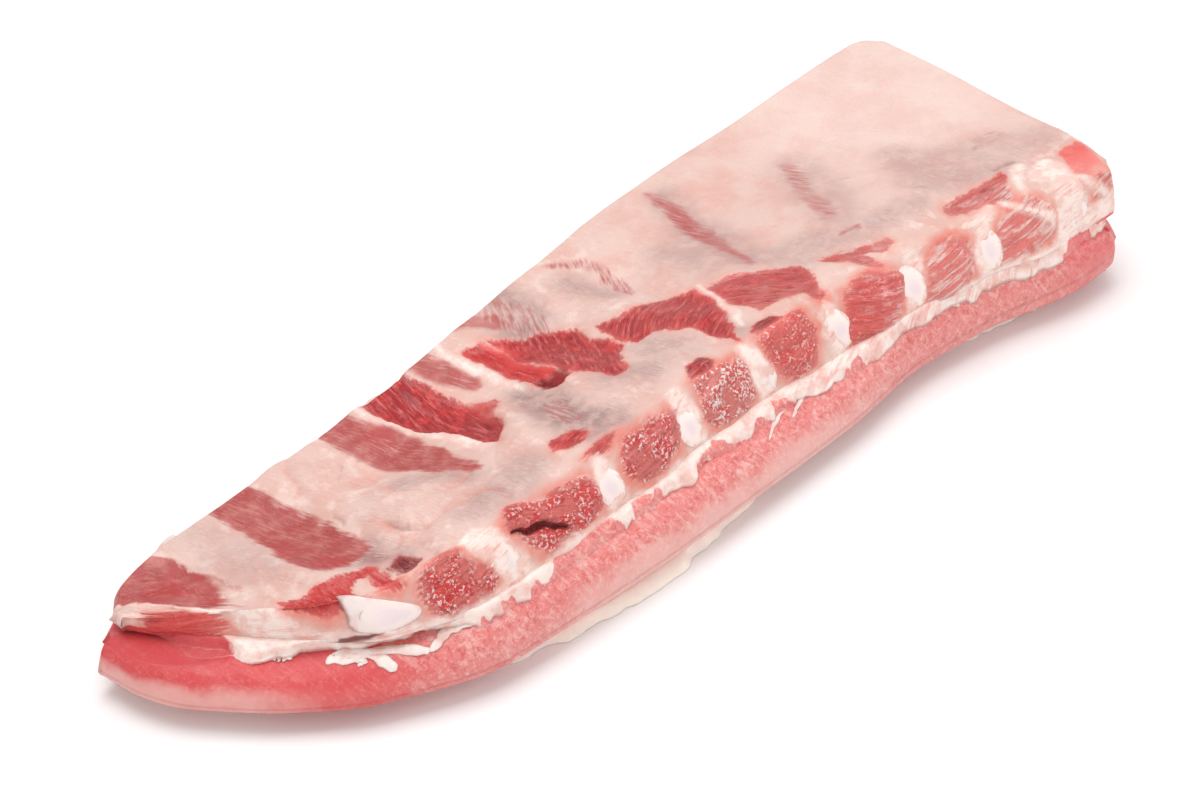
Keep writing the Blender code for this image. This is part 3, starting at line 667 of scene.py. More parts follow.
class Finish:
    """A material under construction. A colour is a socket, or its name among the rack's colours."""

    def __init__(self, name, tint):
        self.tint = tint
        self.material = bpy.data.materials.new(name)
        self.material.use_nodes = True
        self.tree = self.material.node_tree
        self.shader = self.tree.nodes["Principled BSDF"]

    def node(self, kind, settings, *values, out=0, **named):
        """Adds a node. settings are set first, then the values or links of its sockets."""
        made = self.tree.nodes.new(kind)
        for key, value in settings.items():
            setattr(made, key, value)
        for key, value in [*enumerate(values), *named.items()]:
            socket = made.inputs[key.replace("_", " ") if isinstance(key, str) else key]
            self.set(socket, value)
        return Wire(self, made.outputs[out])

    def set(self, socket, value):
        if isinstance(value, Wire):
            self.tree.links.new(value.socket, socket)
        elif value is not None:
            socket.default_value = value

    def field(self, name):
        """A point attribute of the mesh, as a number."""
        return self.node("ShaderNodeAttribute", {"attribute_type": "GEOMETRY", "attribute_name": name}, out=2)

    def place(self):
        """The surface point in the object's own space, in metres."""
        return self.node("ShaderNodeTexCoord", {}, out=3)

    def vector(self, x, y, z):
        return self.node("ShaderNodeCombineXYZ", {}, x, y, z)

    def axes(self, at):
        """The x, y and z of a vector."""
        return [self.node("ShaderNodeSeparateXYZ", {}, at, out=axis) for axis in range(3)]

    def noise(self, at, size, detail, rough=0.6, twist=0.0):
        """Noise from 0 to 1 with features of about size millimetres, read at metres."""
        return self.node(
            "ShaderNodeTexNoise", {}, Vector=at, Scale=1 / (size * MM), Detail=detail, Roughness=rough,
            Distortion=twist,
        )

    def mix(self, share, low, high):
        """A colour between two colours."""
        made = self.tree.nodes.new("ShaderNodeMix")
        made.data_type = "RGBA"
        self.set(made.inputs[0], share)
        for socket, value in ((made.inputs[6], low), (made.inputs[7], high)):
            self.set(socket, (*getattr(self.tint, value), 1.0) if isinstance(value, str) else value)
        return Wire(self, made.outputs[2])

    def over(self, look, *layers):
        """A colour with others laid over it in order, each given as (share, colour)."""
        for share, top in layers:
            look = self.mix(share, look, top)
        return look

    def bump(self, height, strength, distance, normal=None):
        named = {"Strength": strength, "Distance": distance * MM, "Height": height}
        if normal:
            named["Normal"] = normal
        return self.node("ShaderNodeBump", {}, **named)

    def surface(self, **sockets):
        for key, value in sockets.items():
            self.set(self.shader.inputs[key.replace("_", " ")], value)
        return self.material

    def moist(self, look, relief, rough, coat, coat_rough, soak, reach, depth, shine=0.5):
        """The material of moist meat, fat or bone.

        soak is the share of light that sinks in, and depth how far, times reach for red, green and blue.
        """
        return self.surface(
            Base_Color=look, Roughness=rough, Specular_IOR_Level=shine, Coat_Weight=coat,
            Coat_Roughness=coat_rough, Subsurface_Weight=soak, Subsurface_Radius=reach,
            Subsurface_Scale=depth, Normal=relief,
        )


def linear(*levels):
    """A colour given as it looks on screen, from 0 to 255, as the light values that Blender uses."""
    shares = [level / 255 for level in levels]
    return tuple(v / 12.92 if v < 0.04045 else ((v + 0.055) / 1.055) ** 2.4 for v in shares)


def colour(label, note, *levels):
    return FloatVectorProperty(
        name=label, description=note, subtype="COLOR", size=3, min=0, max=1, default=linear(*levels),
    )


def length(label, note, metres):
    return FloatProperty(
        name=label, description=note, unit="LENGTH", subtype="DISTANCE", default=metres, min=0,
    )


class RackColours(PropertyGroup):
    """Colours of the meat, fat and bone."""

    membrane: colour("Membrane", "Pale skin over the inner side of the ribs", 224, 191, 181)
    membrane_warm: colour("Warm membrane", "Pinker parts of the skin", 219, 174, 163)
    dull: colour("Dull meat", "Meat seen through the skin", 172, 62, 62)
    dull_pale: colour("Pale dull meat", "Paler streaks of the meat under the skin", 214, 138, 130)
    red: colour("Red meat", "Bare meat", 188, 34, 42)
    red_bright: colour("Bright meat", "Freshly cut meat", 226, 66, 62)
    red_light: colour("Light meat", "Pale fibres in the bare meat", 226, 126, 118)
    # Darker meat, and also painted shade: this colour darkens the hollows, the seam's pockets and the furrows
    # between fibres.
    deep_red_and_shade: colour("Deep meat", "Meat in hollows", 112, 10, 16)
    # White grain, and also the painted wet glints on the sawn meat.
    grain: colour("Grain", "White grain in the sawn meat", 255, 232, 228)
    blush: colour("Blush", "Pink fat that borders on meat", 228, 120, 102)
    silver: colour("Silver skin", "Thin grey-blue skin", 166, 133, 130)
    fat: colour("Fat", "White fat", 248, 228, 220)
    cap: colour("Outer fat", "Peach-tinted fat of the outer side", 255, 236, 222)
    fat_pink: colour("Pink fat", "Fat with some blood in it", 234, 188, 177)
    loin: colour("Loin", "Smooth muscle at the narrow end", 220, 78, 80)
    loin_mid: colour("Middle of the loin", "Pinker muscle along the rack", 232, 134, 130)
    loin_pale: colour("Pale loin", "Lower edge and white grain of the loin", 244, 196, 188)
    loin_deep: colour("Deep loin", "Darker grain of the loin", 200, 60, 66)
    bone: colour("Bone", "Sawn bone", 250, 230, 225)
    bone_core: colour("Bone core", "Bluish middle of a sawn bone", 240, 221, 223)
    floor: colour("Floor", "Plain floor", 246, 246, 246)


class RackSizes(PropertyGroup):
    """Sizes of the fine surface."""

    stations: IntProperty(
        name="Stations", description="Sections along the rib slab", default=540, min=60, max=700,
    )
    fibre_depth: length("Fibre depth", "Height of the meat's fibres", 0.00028)
    lump_height: length("Lump height", "Height of the soft lumps in the fat and skin", 0.0006)
    camera_distance: length("Camera distance", "From the lens to the rack's middle", 0.90)


def slab_surface(stations):
    """The slab's fine upper surface, with x and s for each point."""

    def heights(plan, on_face, on_back):
        low, high = sheet_top(plan) + GAP, slab_top(plan)
        if on_face < 1:
            foot = through(FOOT_Z, plan[:, 0])
            start = sawn_way_in(low, high, plan[:, 0])
            return foot + (high - foot) * face_rise(start + (1 - start) * on_face), low
        round_off = rounded_back(high, low, on_back)
        return high - round_off, low + round_off

    upper, lower = layer_surface(
        stations, SAWN_EDGE, (lower_edge, lambda x: through(SAWN_INSET, x)), BACK_INSET,
        np.linspace(0, 1, 36) ** 1.2, 6, np.linspace(0.2, 1, 116), BACK_SHARES, heights,
    )
    x = upper[..., 0].copy()
    hidden = np.hypot(upper[:, 0, 2] - through(FOOT_Z, x[:, 0]), 1.5)
    step = np.linalg.norm(np.diff(upper, axis=1), axis=-1)
    s = np.concatenate([np.zeros((len(upper), 1)), np.cumsum(step, 1)], 1) + hidden[:, None]
    upper[..., :2] += ease(-156, -168.5, x)[..., None] * (2.2, -2.0)
    return upper, lower, x, s


def turned(x, s, degrees):
    """Lengths along and across a direction on the surface."""
    turn = math.radians(degrees)
    return x * math.cos(turn) + s * math.sin(turn), s * math.cos(turn) - x * math.sin(turn)


def strongest(x, s, strips, soft):
    """The greatest strength of the strips at each place, with borders that fade over soft millimetres."""
    best = np.zeros(x.shape)
    for strength, strip in strips:
        best = np.maximum(best, strength * ease(-soft, soft, inside_strip(x, s, strip)))
    return best


def choose(where, new, old):
    """The new grids where a condition holds, and the old ones elsewhere."""
    return [np.where(where, a, b) for a, b in zip(new, old)]


def away_from_jumps(*grids):
    """0 where the values of a grid jump from one point to the next, rising to 1 a few points away."""
    jump = np.zeros(grids[0].shape)
    for grid in grids:
        for axis in (0, 1):
            jumps = np.abs(np.diff(grid, axis=axis)) > 1.8
            before, after = ((1, 0), (0, 0)) if axis == 0 else ((0, 0), (1, 0))
            for side in (1, -1):
                jump = np.maximum(jump, np.pad(jumps, (before[::side], after[::side])))
    wide = jump
    for axis in (0, 1):
        wide = np.maximum(wide, np.maximum(np.roll(wide, 1, axis), np.roll(wide, -1, axis)))
    for axis in (0, 1, 0, 1):
        soft = (np.roll(wide, 1, axis) + wide + np.roll(wide, -1, axis)) / 3
        wide = np.maximum(soft, jump)
    return 1 - wide


def slab_fields(x, s):
    """What shows where on the slab, how far it stands out, and where it is bare meat or fat."""
    place = flat(x, s)
    wx, ws = (
        at + sum(size * noise(place, wave, seed + i) for i, (size, wave) in enumerate(WANDER))
        for at, seed in ((x, 11), (s, 21))
    )
    face = ease(27, 20, s)
    lie = choose(s < 24, turned(x, s, 10), turned(x, s, 105))
    for angle, _, strip in DULL_STRIPS:
        lie = choose(inside_strip(wx, ws, strip) > -2, turned(x, s, angle), lie)
    red, white = np.full(x.shape, OUTSIDE), np.full(x.shape, OUTSIDE)
    swell, grain, light = (np.full(x.shape, value) for value in (0, 0, 0.5))
    for angle, rise, grainy, bright, outline in RED_MEAT:
        depth = inside_outline(wx, ws, outline)
        near = (depth > -1.5) & (depth > red)
        *lie, grain, light = choose(near, (*turned(x, s, angle), grainy, bright), (*lie, grain, light))
        red = np.maximum(red, depth)
        swell = swell + rise * (ease(-0.8, 4, depth) if rise > 0 else ease(-1.0, 1.8, depth))
    for strip in WHITE_FAT:
        white = np.maximum(white, inside_strip(wx, ws, strip))
    seam = through(SEAM_UP, x) - ws + 0.7 * noise(place, 4, 31)
    white = np.maximum(white, np.where(x > SEAM_START, np.minimum(seam, 2.4), OUTSIDE))
    hollow = sum(depth * ease(-0.8, 0.8, inside_strip(wx, ws, strip)) for depth, strip in HOLLOWS)
    ridge = sum(high * ease(-3.5, 3, inside_strip(wx, ws, strip)) for high, strip in RIDGES)
    low = ws - 2.2 + 2 * through(SEAM_OUT, x) * ease(SEAM_START, -110, x)
    tip = ease(-149, -152, wx)
    red = np.minimum(red, -white)
    along, athwart = lie
    fields = {
        "calm": away_from_jumps(along, athwart),
        "far": ease(10, 45, x) * ease(38, 50, s),
        "pale": 0.3 * ease(85, 130, x) * ease(50, 75, s),
        "red": np.clip(0.5 + red / BORDER, 0, 1),
        "blush": np.clip(ease(-5, 0, red) * face + 0.2 * ease(-2, 0, red), 0, 1),
        "grain": grain,
        "light": light,
        "dull": strongest(wx, ws, [strip[1:] for strip in DULL_STRIPS], 2.4),
        "silver": strongest(wx, ws, SILVER_SKIN, 5.5),
        "fat": np.clip(0.5 + white / BORDER, 0, 1),
        "hollow": np.clip(hollow / 2, 0, 1),
        "face": face,
        "loin": ease(0.6, -0.6, low - 2.8 * tip) * (ease(-122, -110, wx) + tip),
        "threads": ease(45, 95, x) * ease(34, 24, s),
        "along": along * MM,
        "athwart": athwart * MM,
    }
    return fields, swell - hollow + ridge, ease(-0.5, 0.5, red), ease(-2, 3, white)


def fibres(along, athwart, seed):
    """Low ridges along the fibres."""
    at = flat(along * FIBRE_STRETCH / MM, athwart / MM)
    fine = noise(at * (1.3, 1, 1), 0.9, seed + 1)
    return noise(at, 1.7, seed) + 0.5 * fine + 0.9 * noise(at, 3.6, seed + 2)


def lobes(points):
    """Rounded soft lumps from 0 to 1 with narrow creases between them."""
    at = points + 2.5 * np.stack([noise(points, 13, seed) for seed in (51, 52, 53)], -1)
    return np.sqrt(np.clip(np.abs(noise(at, 13, 44)) / 0.45, 0, 1))


class RACK_OT_slab(Operator):
    """Add the meat between and over the ribs, with its membrane and fat"""

    bl_idname = "rack.slab"
    bl_label = "Rib slab"

    def execute(self, context):
        sizes = context.scene.rack_sizes
        upper, lower, x, s = slab_surface(sizes.stations)
        fields, swell, bare, fat = slab_fields(x, s)
        normal = grid_normals(upper)
        smooth_far = 1 - 0.85 * ease(15, 50, x) * ease(40, 50, s)
        fatty = ease(-112, -104, x) * ease(-62, -74, x) * ease(22, 28, s)
        lump = rough_noise(upper, 11, 41, 3) + 2.8 * fatty * (lobes(upper) - 0.6)
        fine = rough_noise(upper, 2.4, 51, 3) * 0.2
        fibre = fibres(fields["along"], fields["athwart"], 61) * fields["calm"] * (sizes.fibre_depth / MM)
        pale = (1 - bare) * (1 - 0.7 * fields["dull"])
        height = swell + lump * (sizes.lump_height / MM) * (0.35 + 0.65 * pale) * smooth_far
        height += fine * pale * smooth_far * (1 - 0.6 * fat) + 0.5 * fat
        height += fibre * (bare * (1 + 0.5 * fields["grain"]) + 0.25 * fields["dull"] * (1 - bare))
        reach = s[:, -1:] - s
        height *= (0.3 + 0.7 * ease(0, 18, reach)) * ease(0, 2.5, s - s[:, :1]) * ease(0, 3, reach)
        height *= ease(-168.5, -162, x) * ease(176, 170, x)
        upper = upper + normal * height[..., None]
        upper[..., 2] = np.minimum(upper[..., 2], CAD_BOX[1][2] / MM - 0.02)
        fields["crease"] = fatty * (1 - lobes(upper))
        rings, values = closed_layer(upper, lower, 14, (1.0, 1.5), fields)
        turns = len(END_TURNS)
        wall = slice(1 - turns, None)
        marbling = rough_noise(rings[wall], 9, 301, 3)
        for key in ("dull", "silver", "pale", "hollow", "loin"):
            values[key][wall] = 0
        values["red"][wall] = np.clip(0.8 + 0.5 * marbling, 0, 1)
        values["fat"][wall] = np.clip(0.3 - 0.7 * marbling, 0, 1)
        values["light"][wall] = 0.6
        values["along"][wall], values["athwart"][wall] = (rings[wall][..., axis] * MM for axis in (1, 2))
        values["calm"][-turns:2 - turns] = 0
        finish = slab_finish(context.scene.rack_colours)
        made = mesh_piece("rib_slab_meat", [rings], values, finish, ["rib_slab"])
        return {"FINISHED"}


def slab_finish(tint):
    """Membrane, dull meat under it, bare red meat, silver skin, fat, painted shade and glints, by the slab's
    fields.
    """
    f = Finish("rib_slab_surface", tint)
    at = f.place()
    keys = ("along", "athwart", "calm", "far", "face", "grain", "light", "threads")
    along, athwart, calm, far, face, grain, light, threads = (f.field(key) for key in keys)
    lay = f.vector(along * FIBRE_STRETCH, athwart, 0.0)
    strand, thin_strand = ((f.noise(lay, *size) - 0.5) * calm + 0.5 for size in ((1.1, 4), (0.45, 3)))
    speck = f.noise(at, 0.9, 5, 0.68)
    glint = f.noise(at, 0.95, 4, 0.65)
    cloud = f.noise(at, 13, 4, 0.55)
    patch = f.noise(at, 5, 3)
    cluster = f.noise(at, 5, 4)

    ragged = (strand - 0.5) * (3.5 + face * 3) + (speck - 0.5) * 2.5
    inside, in_fat = ((f.field(key) - 0.5) * BORDER + ragged for key in ("red", "fat"))
    red, fat = inside.step(-0.5, 0.7), in_fat.step(-1.4, 1.5)
    shows = f.field("dull") + (strand - 0.5) * 1.6
    sharp = (shows + (cloud - 0.5) * 0.3).step(0.25, 0.95)
    dull = sharp + (shows.step(0.25, 1.1) - sharp) * far

    silver = f.field("silver") * (0.3 + strand * 0.8) * (0.8 + patch.step(0.35, 0.6) * 0.8)
    blush = (f.field("crease").step(0.45, 0.9) * 0.3 + f.field("blush") * 0.7) * strand.step(0.3, 0.6)
    pale = strand.step(0.42, 0.66) * 0.4 + (patch - 0.5) * 1.5 + (cloud - 0.5)
    seen = f.over(f.mix((1 - cloud).step(0.48, 0.66) * 0.5, "dull", "red"), (pale, "dull_pale"))
    skin = f.over(
        f.mix(cloud.step(0.35, 0.68), "membrane", "membrane_warm"),
        (patch.step(0.5, 0.72) * (0.45 - far * 0.35), "fat"),
        (strand.step(0.56, 0.75) * (0.3 - far * 0.15), "blush"),
        (f.field("pale"), "fat"),
        (silver.clamp(), "silver"),
        (thin_strand.step(0.52, 0.70) * (0.32 - far * 0.2), "fat"),
        (blush, "blush"),
        (dull * 0.95, seen),
    )

    haze = (1 - face) * light.step(0.36, 0.54) * light.step(0.69, 0.6) * (0.25 + cloud.step(0.4, 0.6) * 0.3)
    plain = light.step(0.55, 1.0) * 0.45
    # White grain and painted highlight: white specks that stand in for wet glints on the sawn meat.
    grain_and_painted_glint = (glint + grain * 0.06).step(0.58, 0.66) * cluster.step(0.40, 0.55) * grain * face * 0.9
    meat = f.over(
        f.mix(light.step(0.0, 0.5), "deep_red_and_shade", "red"),
        (light.step(0.4, 1.0), "red_bright"),
        (patch.step(0.48, 0.62) * 0.6, "red_bright"),
        ((1 - patch).step(0.45, 0.6) * grain * face * 0.75, "red_light"),
        ((1 - inside.step(0.2, 2.6)) * (0.25 + face * 0.35), "red_light"),
        (light.step(0.7, 1.05) * (0.25 + patch.step(0.4, 0.6) * 0.5), "red_light"),
        (haze, "dull_pale"),
        (threads * 0.2, "loin_pale"),
        (strand.step(0.51, 0.66) * (0.7 - plain), "red_light"),
        # Painted shade in the furrows between the fibres.
        (strand.step(0.47, 0.36) * (0.5 - plain), "deep_red_and_shade"),
        (grain_and_painted_glint, "grain"),
    )

    rim = inside.step(-2.4, -0.4) * (1 - red) * (0.1 + cloud.step(0.42, 0.6) * 0.4) * (0.3 + face * 0.7)
    white = f.mix(patch.step(0.42, 0.62) * 0.8, "fat", "fat_pink")
    white = f.mix(strand.step(0.5, 0.66) * 0.5, white, "red_light")
    line = (f.noise(f.vector(along * 0.1, athwart, 0.0), 2.6, 4) - 0.5) * 17
    thread = (1 - line * line).clamp() * threads * calm.step(0.5, 1) * patch.step(0.36, 0.56)
    look = f.over(
        skin,
        (red, meat),
        (rim, "blush"),
        (fat * 0.95, white),
        (thread * 0.65, "fat"),
        ((f.field("loin") + (speck - 0.5) * 0.8).step(0.3, 0.7), loin_look(f, at, 0.9)[0]),
        # Painted shade in the hollows.
        (f.field("hollow").step(0.05, 0.8) * 0.85, "deep_red_and_shade"),
    )
    ribbed = (strand - 0.5) * (red + dull * 0.5 + 0.2) + (thin_strand - 0.5) * (red * 0.5 + 0.15)
    relief = f.bump(ribbed, 0.9, 1.2)
    relief = f.bump(speck, 0.35, 0.5, relief)
    relief = f.bump((glint - 0.5) * grain * red * face, 0.7, 0.7, relief)
    return f.moist(
        look, relief, 0.44 - red * 0.14 + (speck - 0.5) * 0.2, coat=0.12 + red * 0.2, coat_rough=0.1,
        soak=0.15, reach=(1.0, 0.4, 0.3), depth=0.0012, shine=0.3,
    )


def loin_heights(plan, way_in, on_back):
    """Upper and lower height of the loin. way_in is the share of the way in over its rounded front."""
    high = sheet_top(plan) - SHEET_THICK - GAP + TIP_RISE * ease(-146, -152, plan[:, 0])
    low = underside(plan) + CAP_THICK + GAP
    middle = through(BULGE_Z, plan[:, 0])
    bow = np.sqrt(np.maximum(1 - (1 - way_in) ** 2, 0))
    round_off = rounded_back(high, low, on_back)
    return middle + (high - middle) * bow - round_off, middle - (middle - low) * bow ** 0.6 + round_off


class RACK_OT_loin(Operator):
    """Add the smooth muscle under the ribs"""

    bl_idname = "rack.loin"
    bl_label = "Loin"

    def execute(self, context):
        face = np.linspace(0, 1, 40) ** 1.6
        upper, lower = layer_surface(
            LOIN_STATIONS, LOIN_EDGE, (lambda x: 0 * x, lambda x: through(LOIN_INSET, x)), BACK_INSET,
            face, 1, np.linspace(TOP_START, 1, 30), BACK_SHARES, loin_heights,
        )
        lump = rough_noise(upper, 12, 71, 3) * 0.35 + rough_noise(upper, 1.8, 75, 2) * 0.08
        way = np.concatenate([face, np.ones(upper.shape[1] - len(face))])
        upper = upper + grid_normals(upper) * ((lump - 0.25) * ease(0, 0.2, way))[..., None]
        fields = {"way": np.broadcast_to(way, upper.shape[:2])}
        rings, values = closed_layer(upper, lower, 1, (0.8, 2.5), fields)
        values["way"][:, len(way):] = 0
        finish = loin_finish(context.scene.rack_colours)
        made = mesh_piece("loin_muscle", [rings], values, finish, ["loin"])
        return {"FINISHED"}


def loin_look(f, at, way):
    """Fine-grained pink muscle: redder at the narrow end, pale and grainy along the rack.

    way is 0 at the lower edge and 1 at the seam. Returns the colour and the grain.
    """
    x, _, z = f.axes(at)
    cloud = f.noise(at, 10, 4)
    patch = f.noise(at, 5, 4, 0.65)
    streak = f.noise(f.vector(x + z * 0.6, 0.0, z * 0.45), 2.6, 5, 0.72, 0.6)
    grain = f.noise(at, 1.6, 6, 0.8, 0.8)
    uneven = (cloud - 0.5) * 0.5
    along = (x + uneven * 0.016).step(-0.134, -0.108)
    drift = x + uneven * 0.04
    middle = drift.step(-0.090, -0.060) * drift.step(0.075, 0.02)
    low = (1 - way + uneven).step(0.72, 1.0) * (0.08 + middle * 0.6 + drift.step(-0.140, -0.160) * 0.6)
    look = f.over(
        f.mix(along, "loin", "loin_mid"),
        (streak.step(0.50, 0.66) * (0.12 + along * 0.5), "loin_pale"),
        (patch.step(0.52, 0.7) * (0.15 + along * 0.25), "loin_deep"),
        (grain.step(0.52, 0.62) * (0.16 + along * 0.54), "loin_pale"),
        (grain.step(0.47, 0.38) * (0.3 + along * 0.25), "loin_deep"),
        ((way + uneven).step(0.55, 0.95) * (1 - along) * 0.55, "loin_deep"),
        (drift.step(0.115, 0.15) * 0.5, "loin"),
        (low, "loin_pale"),
    )
    return look, grain


def loin_finish(tint):
    """Moist muscle with a fine grain."""
    f = Finish("loin_surface", tint)
    look, grain = loin_look(f, f.place(), f.field("way"))
    return f.moist(
        look, f.bump(grain, 0.6, 0.6), 0.40 + (grain - 0.5) * 0.3, coat=0.2, coat_rough=0.15,
        soak=0.15, reach=(1.0, 0.4, 0.3), depth=0.0015, shine=0.35,
    )


def lip_share(x):
    """Share of the loin's front slope that the fat sheet leaves bare at x."""
    at = flat(x)
    ragged = 0.10 * noise(at, 4, 81) + 0.12 * noise(at, 9, 82) + 0.04 * noise(at, 1.8, 83)
    return np.clip(through(LIP, x) + ragged, 0.2, 0.97)


def from_sawn_edge(points):
    """How far points lie outside the sawn edge in plan."""
    edge, out = edge_points(SAWN_EDGE, points[..., 0])
    return ((points[..., :2] - edge) * out).sum(-1)


def sheet_fields(upper, outward):
    """Where the loin's meat shows beyond the white seam, and the dark pockets under the first rib."""
    x = upper[..., 0]
    at = flat(x, outward)
    wide = outward + 2.2 * noise(at, 5, 84) + 1.1 * noise(at, 2, 85)
    tip = ease(-148, -152, x + 2.5 * noise(at, 5, 86))
    ledge = ease(-0.2, 1.0, wide - through(SEAM_OUT, x))
    pocket = strongest(x, wide, [(1.0, strip) for strip in SEAM_POCKETS], 0.8)
    return {"meat": np.maximum(tip, ledge), "pocket": pocket}


def sheet_inset(x, share=1.0):
    """Inset of the sheet's front at a share of the way in over the loin. It draws back at the tip."""
    return through(LOIN_INSET, x) * share + 2 * ease(-166, -173, x)


def sheet_piece(finish):
    """The white seam: a sheet over the loin that ends in a ragged lip."""
    def heights(plan, on_face, on_back):
        lip = lip_share(plan[:, 0])
        sunk = 0.9 * sheet_fields(plan, from_sawn_edge(plan))["meat"] * (1 - on_face) ** 2
        low = loin_heights(plan, lip + (1 - lip) * on_face, 1.0)[0] - GAP - sunk
        thick = SHEET_THICK * (0.1 + 0.9 * ease(0, 0.7, on_face)) + GAP
        return np.minimum(low + thick, sheet_top(plan)) - SHEET_THICK * 0.3 * (1 - on_back), low

    upper, lower = layer_surface(
        SHEET_STATIONS, LOIN_EDGE, (lambda x: sheet_inset(x, lip_share(x)), sheet_inset), BACK_INSET - 0.6,
        np.linspace(0, 1, 16), 8, np.linspace(TOP_START, 1, 20), (0.5, 0.2, 0), heights,
    )
    x, outward = upper[..., 0].copy(), from_sawn_edge(upper)
    fields = sheet_fields(upper, outward)
    rough = 0.35 * rough_noise(upper, 3.5, 87, 3) - 0.9 * fields["pocket"] + 0.4 * (1 - fields["meat"])
    lip = 1.3 * ease(-5, -2, outward) * ease(4, -1.5, outward)
    beyond = outward - through(SEAM_OUT, x) * ease(-150, -146, x)
    sunk = 2.2 * fields["meat"] * ease(-0.5, 4.5 - 3 * ease(-145, -150, x), beyond)
    upper[..., 2] = np.maximum(upper[..., 2] + ease(-3, -1, outward) * rough + lip - sunk, lower + 0.15)
    upper[..., 0] += 7.5 * ease(-153, -173.5, x)
    rings, values = closed_layer(upper, lower, 1, (1.0, 1.0), fields)
    return mesh_piece("seam_fat", [rings], values, finish, ["fat_sheet"])


def cap_piece(finish):
    """The outer fat under the loin, with a ragged front edge."""
    def heights(plan, on_face, on_back):
        low = underside(plan)
        round_off = 0.8 * (1 - on_back)
        return low + CAP_RIM + (CAP_THICK - CAP_RIM) * face_rise(on_face) - round_off, low + round_off

    def ragged_edge(x):
        at = flat(x)
        return 1.2 + 1.2 * noise(at, 8, 88) + 0.7 * noise(at, 3, 89)

    upper, lower = layer_surface(
        CAP_STATIONS, CAP_EDGE, (ragged_edge, lambda x: CAP_INSET + 0 * x), 1.5,
        np.linspace(0, 1, 12), 8, np.linspace(TOP_START, 1, 50), (0.5, 0.2, 0), heights,
    )
    rings, values = closed_layer(upper, lower, 1, (1.0, 1.0), {})
    return mesh_piece("fat_cap_layer", [rings], values, finish, ["fat_cap"])


def on_loin(x, way):
    """A point on the loin's front, for a share of the way in from its edge, and its outward normal."""
    def point(at_x, at_way):
        front, out = edge_points(LOIN_EDGE, at_x)
        plan = front - out * (through(LOIN_INSET, at_x) * at_way)[:, None]
        return np.concatenate([plan, loin_heights(plan, at_way, 1.0)[0][:, None]], 1)

    x, way = np.asarray(x, float), np.asarray(way, float)
    here = point(x, way)
    normal = np.cross(point(x + 0.3, way) - here, point(x, np.clip(way + 0.02, 0, 1)) - point(x, way - 0.02))
    return here, normal / np.linalg.norm(normal, axis=1, keepdims=True)


def strand_piece(finish):
    """Loose ends of the fat sheet that hang over the loin, as flattened tapering ribbons."""
    tubes = []
    rows, ring = 26, 10
    t = np.linspace(0, 1, rows)
    turn = np.linspace(0, 2 * np.pi, ring, endpoint=False)
    for seed, strand in enumerate(FAT_STRANDS):
        knots = np.linspace(0, 1, len(strand))
        x, way, half = (through(tuple(zip(knots, column)), t) for column in zip(*strand))
        along = flat(t * 20, seed * 9.0)
        taper = np.sqrt(np.clip(np.minimum(t, 1 - t) * 9 + 0.02, 0, 1))
        half = 1.4 * half * (1 + 0.6 * noise(along, 2.2, 201)) * taper
        middle, up = on_loin(x + 0.5 * noise(along, 3, 202), way)
        side = np.cross(up, np.gradient(middle, axis=0))
        side /= np.linalg.norm(side, axis=1, keepdims=True)
        middle = middle + up * (-0.05 + 0.15 * noise(along, 2, 203) * t)[:, None]
        thick = np.minimum(0.26, 0.16 * half)
        across = side[:, None] * np.outer(half, np.cos(turn))[..., None]
        tubes.append(middle[:, None] + across + up[:, None] * np.outer(thick, np.sin(turn))[..., None])
    nothing = np.zeros(len(tubes) * rows * ring)
    return mesh_piece("fat_strands", tubes, {"meat": nothing, "pocket": nothing}, finish, [])


class RACK_OT_fat(Operator):
    """Add the fat sheet over the loin, its strands, and the fat cap under it"""

    bl_idname = "rack.fat"
    bl_label = "Fat sheet, strands and cap"

    def execute(self, context):
        tint = context.scene.rack_colours
        finish = fat_finish(tint)
        for piece in (sheet_piece(finish), cap_piece(cap_finish(tint)), strand_piece(finish)):
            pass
        return {"FINISHED"}


def fat_finish(tint):
    """Waxy white fat with pink clouds, and loin meat where the fat is missing."""
    f = Finish("fat_surface", tint)
    at = f.place()
    x, y, _ = f.axes(at)
    cloud, grain = f.noise(at, 6, 4), f.noise(at, 1.1, 4)
    thread = f.noise(f.vector((x + y * 0.4) * FIBRE_STRETCH, y - x * 0.4, 0.0), 1.3, 4, 0.65)
    flesh, flesh_grain = loin_look(f, at, 0.9)
    look = f.over(
        f.mix(cloud.step(0.42, 0.68), "fat", "fat_pink"),
        (thread.step(0.48, 0.62) * x.step(-0.02, 0.07) * 0.6, flesh),
        ((f.field("meat") + (grain - 0.5) * 0.7).step(0.35, 0.65), flesh),
        # Painted shade in the pockets under the first rib.
        (f.field("pocket").step(0.2, 0.8), "deep_red_and_shade"),
    )
    return f.moist(
        look, f.bump(grain + flesh_grain * 0.5, 0.45, 0.5), 0.42 + (grain - 0.5) * 0.2, coat=0.3,
        coat_rough=0.15, soak=0.2, reach=(1.0, 0.5, 0.4), depth=0.002,
    )


def cap_finish(tint):
    """Peach-tinted fat of the outer side."""
    f = Finish("fat_cap_surface", tint)
    at = f.place()
    cloud, grain = f.noise(at, 9, 5), f.noise(at, 1.3, 4)
    return f.moist(
        f.mix(cloud.step(0.40, 0.68), "fat", "cap"), f.bump(grain, 0.4, 0.5), 0.45 + (grain - 0.5) * 0.2,
        coat=0.2, coat_rough=0.2, soak=0.25, reach=(1.0, 0.5, 0.4), depth=0.002,
    )


